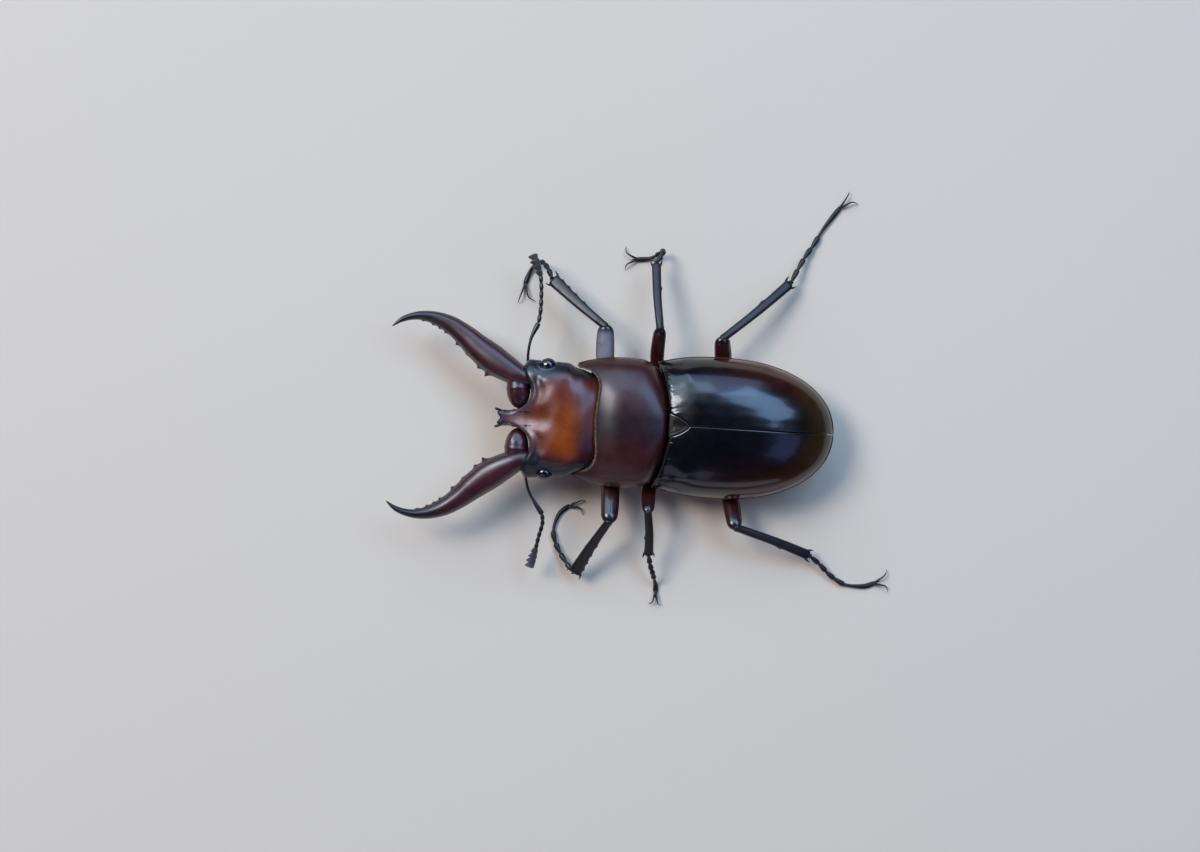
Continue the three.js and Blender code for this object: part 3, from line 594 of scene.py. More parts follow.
def makeScutellum():
    s = scutellum
    outline = scutellumOutline(-0.04)
    shares = 1 - (1 - np.linspace(0.02, 1, s["rings"])) ** 1.6
    flat = s["middle"] + (outline[None] - s["middle"]) * shares[:, None, None]
    x, y = flat[..., 0], flat[..., 1]
    edge = distanceTo(flat, np.vstack([outline, outline[:1]]))
    baseDrop = s["baseDrop"] * roll(y - s["base"], wingCase["baseRoll"]) * wingCase["baseDrop"]
    height = wingTop(y) - 0.02 - 0.012 * x ** 2 - baseDrop - roll(edge, s["edgeRoll"])
    height = height + 0.008 * bump(edge, 0.14, 0.06) - 0.03 * bump(x, 0, 0.5)
    top = np.concatenate([flat, height[..., None]], -1)
    under = top[-1:] - [0, 0, s["thick"]]
    # a pale line painted just inside the edge: a painted highlight on its rounded rim
    bead = np.pad(0.15 * bump(edge, 0.06, 0.05), ((0, 1), (0, 0)))
    poles = [[*s["middle"], height[0].mean()], [*s["middle"], under[..., 2].mean()]]
    shell = tube(np.concatenate([top, under]), poles, rim=0.0, tail=0.15, bead=bead)
    makePiece("scutellum_plate", [shell], "shell", ["scutellum"])


makeScutellum()
print("wing cases made")


# Pronotum: a broad saddle with a beaded margin, scalloped in front round the neck
saddle = {
    "halfWidth": 8.05, "widestAt": -5.0, "hind": 0.2, "front": -11.2, "margin": 6.3, "seam": 5.9,
    "top": 10.6, "frontNarrowing": 1.05, "frontPower": 2.4, "hindPower": 3.2,
    "hindDrop": 0.75, "hindDropPower": 2.6,
    "frontDrop": 2.7, "rimSteepness": 1.6, "rimPower": 0.4, "sidePower": 0.88, "domePower": 0.85,
    "collar": [[6.62, -11.15], [6.42, -10.3], [6.1, -9.35], [5.4, -8.7], [4.3, -8.38], [2.3, -8.5],
               [0, -8.62]],
    "corner": -1.6, "lobe": [6.78, -11.32], "frontRoll": 0.2, "columns": 150, "rows": 110,
    "sideBeads": [(0.10, 0.16, 0.13), (-0.11, 0.52, 0.2)],
    "hindBeads": [(0.07, 0.3, 0.13), (-0.08, 0.62, 0.16)],
    "dimples": {"side": (-0.05, 5.3, -5.6, 1.4, 1.7)}, "midline": [(-0.02, 0, 0.7)],
}


def saddleHalfWidth(y):
    s = saddle
    ahead = np.maximum(s["widestAt"] - y, 0) / (s["widestAt"] - s["front"])
    aft = np.clip((y - s["widestAt"]) / (s["hind"] - s["widestAt"]), 0, 1)
    fore = s["halfWidth"] - s["frontNarrowing"] * ahead ** s["frontPower"]
    return fore * np.sqrt(1 - aft ** s["hindPower"])


def saddleTop(y):
    s = saddle
    aft = np.maximum(y - s["widestAt"], 0) / (s["hind"] - s["widestAt"])
    ahead = np.maximum(s["widestAt"] - y, 0) / (s["widestAt"] - s["front"])
    return s["top"] - s["hindDrop"] * aft ** s["hindDropPower"] - s["frontDrop"] * ahead ** 2


def coons(front, hind, right, left, u, v):  # a grid over the plan between four edges
    u, v = u[None, :, None], v[:, None, None]
    corners = (1 - v) * ((1 - u) * front[0] + u * front[-1]) + v * ((1 - u) * hind[0] + u * hind[-1])
    return (1 - v) * front[None] + v * hind[None] + (1 - u) * right[:, None] + u * left[:, None] - corners


def makeSaddle():
    s = saddle
    u, v = crowdedEnds(s["columns"], 0.85), crowdedEnds(s["rows"], 0.85)
    sideY = np.linspace(s["front"], s["corner"], 160)
    side = np.vstack([s["lobe"], np.stack([saddleHalfWidth(sideY), sideY], -1)])
    hindX = np.linspace(side[-1, 0], 0, 160)
    arch = (1 - (hindX / s["halfWidth"]) ** 2) ** (1 / s["hindPower"])
    hindY = s["widestAt"] + (s["hind"] - s["widestAt"]) * arch
    hindHalf = np.stack([hindX, hindY], -1)
    hindHalf[0] = side[-1]
    collar = smoothLine([side[0], *s["collar"]])
    flip = [-1, 1]
    frontLine = np.vstack([collar * flip, collar[::-1]])
    hindLine = np.vstack([hindHalf * flip, hindHalf[::-1]])
    flat = coons(along(frontLine, u), along(hindLine, u), along(side * flip, v), along(side, v), u, v)
    x, y = flat[..., 0], flat[..., 1]
    width = np.maximum(saddleHalfWidth(y), 1e-6)
    up = np.sqrt(np.maximum(1 - np.clip(np.abs(x) / width, 0, 1) ** (2 / s["sidePower"]), 0))
    steep = np.minimum(1, s["rimSteepness"] * width / s["halfWidth"])
    dome = (steep * (2 - steep)) ** s["rimPower"] * up ** s["domePower"]
    z = s["margin"] + (saddleTop(y) - s["margin"]) * dome
    grid = np.stack([x, y, z], -1)
    toSide = np.minimum(distanceTo(grid, grid[::4, 0]), distanceTo(grid, grid[::4, -1]))
    toFront, toHind = distanceTo(grid, grid[0, ::4]), distanceTo(grid, grid[-1, ::4])
    relief = (
        bands(toSide, s["sideBeads"]) + bands(toHind, s["hindBeads"])
        + swellings(np.abs(x), y, s["dimples"])
        + bands(x, s["midline"]) * fade(toFront, 1, 3) * fade(toHind, 1, 3)
        + 0.03 * np.sin(x * 1.3 + 0.8 * y) * bump(toSide, 1.5, 1.5)
    )
    grid = swollen(grid, -relief)
    grid[..., 2] -= roll(toFront, s["frontRoll"])
    low = grid.copy()
    low[..., 2] = s["seam"]
    low[..., 0] *= 0.985
    edge = perimeter(*grid.shape[:2])
    rim = grid.reshape(-1, 3)[edge].copy()
    rim[:, 2] = np.maximum(rim[:, 2] - 0.12, s["seam"] + 0.1)
    masks = {
        # a darker band painted down the middle, darkest in front: painted shade where the plate reflects the
        # dark overhead
        "middle": bump(x, 0.4, 2.1) * (0.65 + 0.35 * fade(-y, 2, 8)),
        "rim": np.clip(bump(toSide, 0, 0.6) + 0.45 * bump(toFront, 0, 0.3) + bump(toHind, 0, 0.35), 0, 1),
        # pale lines painted along the front and hind margins: painted highlights on the beads
        "bead": 0.4 * bump(toFront, 0.0, 0.12) + 0.45 * bump(toHind, 0.25, 0.09),
    }
    makePiece("pronotum_plate", [slab(grid, low, [rim], **masks)], "chestnut", ["pronotum"])
    return grid


saddleGrid = makeSaddle()
print("pronotum made")


# Head: a broad box with raised cheeks, a forked shield in front and a round bay for each jaw
headShape = {
    "stations": [  # y, half width, top and bottom
        [2.6, 3.6, 7.9, 5.0], [1.6, 4.8, 8.4, 4.6], [0.2, 5.6, 9.05, 4.3], [-1.2, 6.2, 9.55, 4.15],
        [-2.2, 6.45, 9.72, 4.1], [-3.2, 7.0, 9.8, 4.1], [-4.8, 7.08, 9.7, 4.2], [-6.3, 7.1, 9.35, 4.45],
        [-7.5, 7.28, 8.95, 4.8], [-8.2, 7.12, 8.7, 5.1], [-8.65, 6.9, 8.5, 5.4], [-10.2, 6.2, 8.0, 6.0],
        [-11.9, 5.6, 7.7, 6.6],
    ],
    "middle": 0.52, "sidePower": 0.72, "crownPower": 0.8,
    "front": [[0, -11.5], [0.3, -11.68], [0.62, -11.86], [0.86, -11.72], [0.8, -11.2], [0.72, -10.5],
              [0.98, -9.6], [1.35, -8.9], [2.05, -8.15], [3.05, -7.75], [4.1, -7.9], [4.8, -8.35],
              [5.5, -8.72], [6.3, -8.78], [6.95, -8.5]],
    "side": [[6.95, -8.5], [7.2, -8.0], [7.28, -7.4], [7.2, -6.9], [7.06, -6.3], [7.08, -5.0], [7.04, -4.0],
             [7.0, -3.2], [6.45, -2.2], [6.2, -1.2], [5.6, 0.2], [4.8, 1.6], [3.6, 2.6]],
    "columns": 220, "rows": 150,
    "frontBeads": [(0.06, 0.45, 0.32), (-0.05, 1.2, 0.5)], "neckGroove": [(-0.04, -0.9, 0.9)],
    "mounds": {
        "cheek": (0.34, 5.75, -7.75, 1.15, 0.95), "forehead": (0.07, 4.0, -5.2, 1.5, 1.9),
        "pit": (-0.05, 4.75, -6.9, 0.5, 0.4), "ridge": (0.17, 5.0, -6.2, 1.0, 1.1),
        "hollow": (-0.05, 5.35, -6.35, 0.4, 0.45), "brow": (-0.24, 0, -7.4, 1.4, 2.2),
        "temple": (0.12, 5.3, -3.4, 0.8, 1.9),
    },
    "throat": {"side": (0.1, 3.4, -4, 1.5, 1.5)}, "frontRoll": 0.34, "frontDrop": 0.9,
}
eyeShape = {
    "centre": [6.64, -5.8, 7.65], "radii": [0.9, 1.02, 0.86], "rings": 60, "sides": 96,
    "socket": [(0.09, 1.28, 0.14), (-0.16, 1.06, 0.12)],  # the rim and groove about it, in its own radii
}


def headSection(y):  # half width, top and bottom at these places along the head
    table = smoothLine(headShape["stations"][::-1])
    order = np.argsort(table[:, 0])
    return [np.interp(y, table[order, 0], table[order, k]) for k in (1, 2, 3)]


def makeHead():
    h = headShape
    u, v = crowdedEnds(h["columns"], 0.35), crowdedEnds(h["rows"], 0.85)
    frontHalf = smoothLine(h["front"])
    side = smoothLine(h["side"])
    flip = [-1, 1]
    frontLine = along(np.vstack([frontHalf[::-1] * flip, frontHalf]), u)
    neckLine = np.stack([mix(-side[-1, 0], side[-1, 0], u), np.full_like(u, side[-1, 1])], -1)
    sideLine = along(side, v)
    flat = coons(frontLine, neckLine, sideLine * flip, sideLine, u, v)
    x, y = flat[..., 0], flat[..., 1]
    width, top, bottom = headSection(y)
    middle = mix(bottom, top, h["middle"])
    across = np.clip(np.abs(x) / np.maximum(width, 1e-6), 0, 1)
    up = np.maximum(1 - across ** (2 / h["sidePower"]), 0) ** (h["crownPower"] / 2)
    grid = np.stack([x, y, middle + (top - middle) * up], -1)
    toFront = distanceTo(flat, frontLine[::2])
    toSide = np.minimum(distanceTo(grid, grid[::3, 0]), distanceTo(grid, grid[::3, -1]))
    ax = np.abs(x)
    fromEye = np.stack([ax, y, grid[..., 2]], -1) - eyeShape["centre"]
    eyeGap = np.linalg.norm(fromEye / eyeShape["radii"], axis=-1)
    relief = (
        bands(toFront, h["frontBeads"]) * fade(ax, 1.2, 2.4) + swellings(ax, y, h["mounds"])
        + bands(y, h["neckGroove"]) + bands(eyeGap, eyeShape["socket"])
        + 0.02 * np.sin(1.9 * x + 0.7 * y) * np.sin(1.3 * y + 0.5)
    )
    grid = swollen(grid, -relief * fade(toFront, 0, 0.3))
    grid[..., 2] -= roll(toFront, h["frontRoll"]) * h["frontDrop"]
    under = grid.copy()
    under[..., 2] = mix(middle, bottom, up) + roll(toFront, 0.5) * 0.8 - 0.02
    under[..., 2] -= 0.18 * bump(x, 0, 2.2) * bump(y, -4.5, 2.6) - swellings(ax, y, h["throat"])
    edge = perimeter(*grid.shape[:2])
    upper, lower = grid.reshape(-1, 3)[edge], under.reshape(-1, 3)[edge]
    thick = np.maximum(upper[:, 2] - lower[:, 2], 0.02)[:, None]
    outward = np.zeros_like(upper)
    outward[:, 1] = -0.05 * (thick[:, 0] > 0.3)
    rims = [mix(upper, lower, t) + outward * 4 * t * (1 - t) for t in (0.15, 0.35, 0.6, 0.85)]
    brow = fade(-y, 5.6, 7.0)
    dark = fade(ax, mix(3.6, 2.7, brow), mix(5.9, 4.4, brow)) * fade(-y, 1.5, 5.5)
    masks = {
        "glow": fade(4.9 - np.hypot((x - 1.6) / 1.0, (y + 2.6) / 0.75), 0, 3.6) * 0.9,
        # a darker red towards the collar: the head's own darker red, deepened by painted shade from the
        # pronotum's collar
        "neck": fade(y, -3.4, -0.6) * (0.5 + 0.5 * fade(x, -2, 3)),
        # greyish mauve along the front and side edges: a painted sheen of the lit front bead
        "rim": np.clip(0.85 * bump(toFront, 0, 1.1) + 0.5 * bump(toSide, 0, 0.5), 0, 1),
        "cheek": np.clip(dark + 0.6 * fade(ax, 5.2, 6.6) + fade(ax, 4.2, 5.8) * fade(y, -4, -1.5)
                         + fade(-y, 10.2, 11.5) * (ax < 1.5), 0, 1),
    }
    makePiece("head_capsule", [slab(grid, under, rims, **masks)], "russet", ["head"], True)


makeHead()


def makeEye(side, sign):
    e = eyeShape

    def canthus(ball):  # the horn bar across its front
        return 1 - 0.05 * bump(ball[..., 1], -0.35, 0.16) * fade(ball[..., 0], -0.2, 0.6)

    ball = ovoid(e["centre"], e["radii"], e["rings"], e["sides"], shape=canthus)
    makePiece("eye_ball_" + side, [onSide(ball, sign)], "eye", ["eye_" + side], True)


for side, sign in sideSigns.items():
    makeEye(side, sign)
print("head made")


# Limbs: closed rings along a smooth path, with the cross section given at each share of the length
def limbRings(path, shares, halves, sides, ridge=None, flat=1.0, detail=None):
    line = smoothLine(path, 120)
    centre = along(line, shares)
    tangent = unit(along(line, np.clip(shares + 0.002, 0, 1)) - along(line, np.clip(shares - 0.002, 0, 1)))
    across = unit(np.cross([0, 0, 1], tangent))
    over = np.cross(tangent, across)
    angle = anglesRound(sides)
    side, up = np.cos(angle)[None], np.sin(angle)[None]
    swell = detail(shares[:, None], side, up) if detail else 1
    halves = halves if halves.ndim == 2 else halves[:, None] * np.ones(2)
    if ridge:  # a roof with a crest along it, over steep sides
        roof = 1 - ridge * np.abs(side) ** 1.8 - (1 - ridge) * np.abs(side) ** 6
        up = np.where(up > 0, roof, -(1 - np.abs(side) ** 2) ** 0.5)
    up = power(up, flat)  # under 1 the section has a flatter top and bottom
    sideways, upward = side * halves[:, 0:1] * swell, up * halves[:, 1:2] * swell
    offset = across[:, None] * sideways[..., None] + over[:, None] * upward[..., None]
    return centre[:, None] + offset


def roundEnds(shares, blunt):  # 0 at both ends, rising to 1 as on a ball
    fromEnd = np.minimum(np.minimum(shares, 1 - shares), blunt) / blunt
    return np.sqrt(np.maximum(1 - (1 - fromEnd) ** 2, 0))


def easedShares(count):  # 0 to 1, with short steps at both ends and no step on an end
    return (1 - np.cos(math.pi * (np.arange(count) + 0.3) / (count - 0.4))) / 2


jawShape = {
    "rows": [  # x, y, z, half width, half height
        [4.85, -7.6, 6.9, 1.05, 1.2], [5.22, -9.14, 6.85, 1.3, 1.45], [6.07, -10.88, 6.7, 1.64, 1.45],
        [7.18, -12.7, 6.5, 1.82, 1.4], [8.6, -14.6, 6.3, 1.64, 1.25], [10.05, -16.3, 6.15, 1.36, 1.08],
        [11.35, -18.2, 6.1, 1.08, 0.9], [12.1, -20.2, 6.15, 0.78, 0.72], [12.27, -22.1, 6.3, 0.53, 0.55],
        [11.75, -24.0, 6.5, 0.34, 0.38],
    ],
    "tip": [10.75, -25.35, 6.75], "tipRound": 0.09,
    "knuckle": [[1.2, -9.25, 6.6], [2.9, -9.35, 6.72], [5.6, -9.5, 6.5]], "knuckleHalf": [1.45, 1.3],
    "teeth": {0.26: 0.55, 0.32: 0.3, 0.42: 0.12, 0.51: 0.32, 0.62: 0.24, 0.67: 0.2, 0.72: 0.2, 0.79: 0.14},
    "toothWidth": 0.014, "crest": 0.36, "rings": 420, "sides": 96,
}


def makeBlade():
    j = jawShape
    rows = np.array(j["rows"])
    path = np.vstack([rows[:, :3], j["tip"]])
    line = smoothLine(path, 120)
    lengths = lengthsAlong(line)
    stations = lengths[np.arange(len(rows)) * 120] / lengths[-1]
    widths = smoothLine(np.column_stack([stations, rows[:, 3:]]), 30)
    shares = mix(0.002, 0.998, np.linspace(0, 1, j["rings"]))
    near = 1 - np.clip((shares - widths[-1, 0]) / (1 - widths[-1, 0]), 0, 1)
    halves = np.stack([np.interp(shares, widths[:, 0], widths[:, k]) for k in (1, 2)], -1)
    halves = np.maximum(halves * near[:, None] ** 0.75, j["tipRound"] * np.sqrt(near)[:, None] + 1e-3)
    halves = halves * roundEnds(np.minimum(shares, 0.5), 0.02)[:, None]

    def teeth(share, across, up):
        inner = np.clip(-across, 0, 1) ** 7 * np.exp(-(up ** 2) / 0.12)
        rise = 0
        for at, height in j["teeth"].items():  # each tooth leans to the tip
            lean = (share - at) / j["toothWidth"]
            rise = rise + height * np.exp(-np.abs(lean) ** 1.3 * np.where(lean > 0, 2.2, 0.8))
        scale = np.interp(share[:, 0], widths[:, 0], widths[:, 1])[:, None]
        flute = 0.04 * bump(across, -0.6, 0.2) * fade(share, 0.25, 0.5) * (up > 0)
        return 1 + inner * rise / np.maximum(scale, 0.3) - flute

    blade = limbRings(path, shares, halves, j["sides"], ridge=j["crest"], detail=teeth)
    crest = 0.5 * bump(np.cos(anglesRound(j["sides"])), -0.95, 0.3) + 0.3 * bump(shares, 0, 0.05)[:, None]
    tip = fade(shares, 0.42, 0.9)[:, None]
    return tube(blade, [path[0], path[-1]], tip=tip, rim=np.clip(crest, 0, 1))


def makeKnuckle():
    shares = easedShares(80)
    fullness = np.where(shares < 0.5, roundEnds(shares, 0.5) ** 1.15, roundEnds(shares, 0.25))

    def wrinkles(share, across, up):
        worn = bump(np.hypot((share - 0.3) / 0.16, (across - 0.15) / 0.5), 0, 1) * (up > 0)
        lines = 1 + 0.25 * np.sin(9 * across + 30 * share)
        return 1 - 0.07 * worn * lines + 0.05 * bump(share, 0.56, 0.05)

    halves = np.outer(fullness, jawShape["knuckleHalf"])
    return tube(limbRings(jawShape["knuckle"], shares, halves, 64, detail=wrinkles), tip=0.0, rim=0.1)


jawShells = [makeBlade(), makeKnuckle()]
for side, sign in sideSigns.items():
    shells = [onSide(shell, sign) for shell in jawShells]
    makePiece("jaw_" + side, shells, "jaw", ["mandible_" + side], True)
print("jaws made")


feelers = {
    "left": {
        "scape": [[6.15, -8.35, 6.2], [8.9, -7.75, 6.0], [10.5, -6.85, 5.8], [11.85, -5.95, 5.6]],
        "lash": [[11.85, -5.95, 5.6], [13.0, -5.9, 5.0], [14.6, -6.3, 4.5], [16.2, -6.65, 4.0]],
        "club": [[16.1, -6.63, 4.0], [17.5, -6.85, 3.75], [18.7, -7.15, 3.5]],
    },
    "right": {
        "scape": [[-6.15, -8.35, 6.2], [-8.0, -8.35, 6.4], [-9.9, -8.05, 6.5], [-11.85, -7.2, 6.3]],
        "lash": [[-11.85, -7.2, 6.3], [-13.6, -7.0, 6.1], [-15.8, -7.0, 5.9], [-17.8, -7.15, 5.7]],
        "club": [[-17.7, -7.13, 5.7], [-19.2, -7.55, 5.6], [-20.5, -8.05, 5.5]],
    },
    "scapeHalf": [0.17, 0.33], "beads": 6, "beadHalf": [0.18, 0.27], "leaves": 4, "leafHalf": [0.24, 0.31],
    "leafReach": [0.5, 1.9], "leafLean": 0.8, "clubDepth": 0.9, "sides": 24, "clubSides": 48,
}


def beads(shares, count, thin, thick, lean=0.62):  # a chain of swellings, each fullest towards its far end
    local = (shares * count) % 1
    growing = np.clip(np.sin(np.minimum(local / lean, 1) * math.pi / 2), 0, 1) ** 1.3
    closing = np.clip(np.cos(np.maximum(local - lean, 0) / (1 - lean) * math.pi / 2), 0, 1) ** 0.5
    return thin + (thick - thin) * growing * closing


def makeFeeler(side):
    f, paths = feelers, feelers[side]
    shares = easedShares(90)
    thick = mix(*f["scapeHalf"], fade(shares, 0.55, 0.96)) + 0.1 * bump(shares, 0.02, 0.04)
    scape = tube(limbRings(paths["scape"], shares, thick * roundEnds(shares, 0.03), f["sides"]), tip=0.0)
    makePiece("scape_rod_" + side, [scape], "feeler", ["scape_" + side], True)
    shares = np.linspace(0.004, 0.996, 200)
    halves = beads(shares, f["beads"], *f["beadHalf"]) * roundEnds(shares, 0.02)
    lash = tube(limbRings(paths["lash"], shares, halves, f["sides"]), tip=fade(shares, 0.5, 1)[:, None])
    makePiece("lash_beads_" + side, [lash], "feeler", ["funicle_" + side], True)
    shares = np.linspace(0.004, 0.996, 240)
    halves = beads(shares, f["leaves"], *f["leafHalf"], f["leafLean"]) * roundEnds(shares, 0.06)
    front = -1 if side == "left" else 1

    def leaf(share, across, up):  # the leaves stand out to the front, each longer than the one before
        local = (share * f["leaves"]) % 1
        lean = f["leafLean"]
        saw = np.where(local < lean, (local / lean) ** 0.7, ((1 - local) / (1 - lean)) ** 0.5)
        reach = mix(*f["leafReach"], fade(share, 0.0, 0.65))
        return 1 + reach * np.clip(front * across, 0, 1) ** 1.3 * (0.45 + 0.55 * saw)

    halves = np.outer(halves, [1, f["clubDepth"]])
    rings = limbRings(paths["club"], shares, halves, f["clubSides"], detail=leaf)
    club = tube(rings, tip=fade(shares, 0.2, 1)[:, None])
    makePiece("club_leaves_" + side, [club], "club", ["antenna_club_" + side], True)
    return rings


clubs = {side: makeFeeler(side) for side in sideSigns}
print("feelers made")


# Mouth: a pitted chin plate over the lip, with a beaded palp at each side
mouthShape = {
    "centre": [0, -8.6, 5.35], "radii": [1.5, 1.5, 0.8],
    "palp": [[1.35, -8.3, 4.55], [0.95, -9.6, 4.5], [0.8, -11.0, 4.55], [1.15, -12.35, 4.6]],
    "palpBeads": 4, "palpHalf": [0.16, 0.27], "palpTaper": 0.6, "palpSides": 24,
}


def makeMouth():
    m = mouthShape

    def furrows(ball):
        return 1 - 0.1 * bump(ball[..., 0], 0, 0.12) - 0.08 * bump(ball[..., 1], -0.45, 0.1)

    plate = ovoid(m["centre"], m["radii"], shape=furrows, rim=0.3)
    makePiece("mouth_plate", [plate], "underside", ["mouthparts"], True)
    shares = np.linspace(0.004, 0.996, 120)
    chain = beads(shares, m["palpBeads"], *m["palpHalf"])
    halves = chain * mix(1, m["palpTaper"], shares) * roundEnds(shares, 0.04)
    palp = tube(limbRings(m["palp"], shares, halves, m["palpSides"]), tip=fade(shares, 0.6, 1)[:, None])
    for side, sign in sideSigns.items():
        makePiece("palp_joints_" + side, [onSide(palp, sign)], "feeler", ["palp_" + side], True)


makeMouth()


# Underside: the chest plate, the breast with its leg sockets, and the belly in five overlapping rings
bellyShape = {
    "tail": 20.1, "front": -1.2, "bottom": 2.2, "inset": 0.75, "split": 9.4, "taper": 1.035,
    "liftFrom": 8.0, "lift": 2.1, "liftPower": 1.7, "ends": [9.4, 11.8, 13.9, 15.8, 17.6, 20.1],
    "step": 0.09, "groove": 0.1, "sidePower": 0.8, "keelPower": 0.75, "rise": 0.5, "sides": 120,
}
chestShape = {
    "hind": -1.5, "front": -9.6, "bottom": 2.9, "inset": 0.5, "throatFrom": 0.55, "throatRise": 1.1,
    "hindRise": 0.8, "hindSlope": 5, "sidePower": 0.8, "keelPower": 0.75, "rise": 0.3, "sides": 120,
}


def keeledRings(y, halfWidth, seam, depth, shape):  # rings that hang from a seam, deepest in the middle
    angle = anglesRound(shape["sides"])[None]
    side, up = np.cos(angle), np.sin(angle)
    x = halfWidth[:, None] * power(side, shape["sidePower"])
    z = seam + np.where(up > 0, shape["rise"] * up, -depth[:, None] * np.abs(up) ** shape["keelPower"])
    return np.stack([x, y[:, None] * np.ones_like(x), z], -1)


def bellyRings(y):
    b, seam = bellyShape, wingCase["seam"]
    halfWidth = np.maximum(wingHalfWidth(y * b["taper"]) - b["inset"], 0.02)
    raised = b["lift"] * np.maximum(0, (y - b["liftFrom"]) / (b["tail"] - b["liftFrom"])) ** b["liftPower"]
    return keeledRings(y, halfWidth, seam, np.maximum(seam - b["bottom"] - raised, 0.05), b)


def makeBelly():
    b = bellyShape
    y = b["split"] - 0.15 + (b["tail"] - b["split"] + 0.13) * (1 - (1 - np.linspace(0, 1, 200)) ** 1.7)
    step = np.zeros_like(y)
    groove = np.zeros_like(y)
    for start, end in zip(b["ends"][:-1], b["ends"][1:]):
        share = np.clip((y - start) / (end - start), 0, 1)
        step = np.where((y >= start) & (y < end), b["step"] * share ** 2, step)
        groove = groove + bump(y, start, 0.1)
    rings = swollen(bellyRings(y), (step - b["groove"] * groove)[:, None], closed=True)
    rim = np.clip(groove[:, None] + 0.3 * bump(np.abs(rings[..., 0]) / 7.9, 1, 0.2), 0, 1)
    makePiece("belly_rings", [tube(rings, rim=rim)], "underside", ["abdomen"])
    return rings


def makeBreast():
    b = bellyShape
    y = np.linspace(b["front"], b["split"] + 0.1, 150)
    rings = bellyRings(y)
    x, z = rings[..., 0], rings[..., 2]
    line = bump(x, 0, 0.1) * fade(y, 0.5, 2)[:, None] * (z < 4)
    plate = bump(y[:, None] - 0.02 * x ** 2, 7.4, 0.14) + bump(y[:, None] + 0.03 * x ** 2, 0.9, 0.14)
    rings = swollen(rings, -0.1 * line - 0.1 * plate * (z < 4.6), closed=True)
    waist = ovoid([0, -0.7, 6.1], [4.8, 1.5, 1.7], rim=0.8)
    breast = tube(rings, rim=np.clip(line + plate, 0, 1))
    makePiece("breast_plate", [breast, waist], "underside", ["thorax"])


def makeChest():
    c, seam = chestShape, saddle["seam"]
    share = np.linspace(0, 1, 130)
    y = mix(c["hind"], c["front"], share)
    throat = c["throatRise"] * np.maximum(0, (share - c["throatFrom"]) / (1 - c["throatFrom"]))
    rise = throat + c["hindRise"] * np.maximum(0, 1 - c["hindSlope"] * share)
    rings = keeledRings(y, saddleHalfWidth(y) - c["inset"], seam, seam - c["bottom"] - rise, c)
    x, z = rings[..., 0], rings[..., 2]
    keel = 0.35 * bump(x, 0, 0.7) * bump(y, -5.6, 2.2)[:, None] * (z < 4.5)
    seamLine = bump(np.abs(x) - 0.35 * (y[:, None] + 9), 3.2, 0.14) * (z < 5)
    rings = swollen(rings, 0.08 * seamLine - keel, closed=True)
    makePiece("chest_plate", [tube(rings, rim=np.clip(seamLine, 0, 1))], "underside", ["prosternum"])


bellySkin = makeBelly()
makeBreast()
makeChest()
print("underside made")


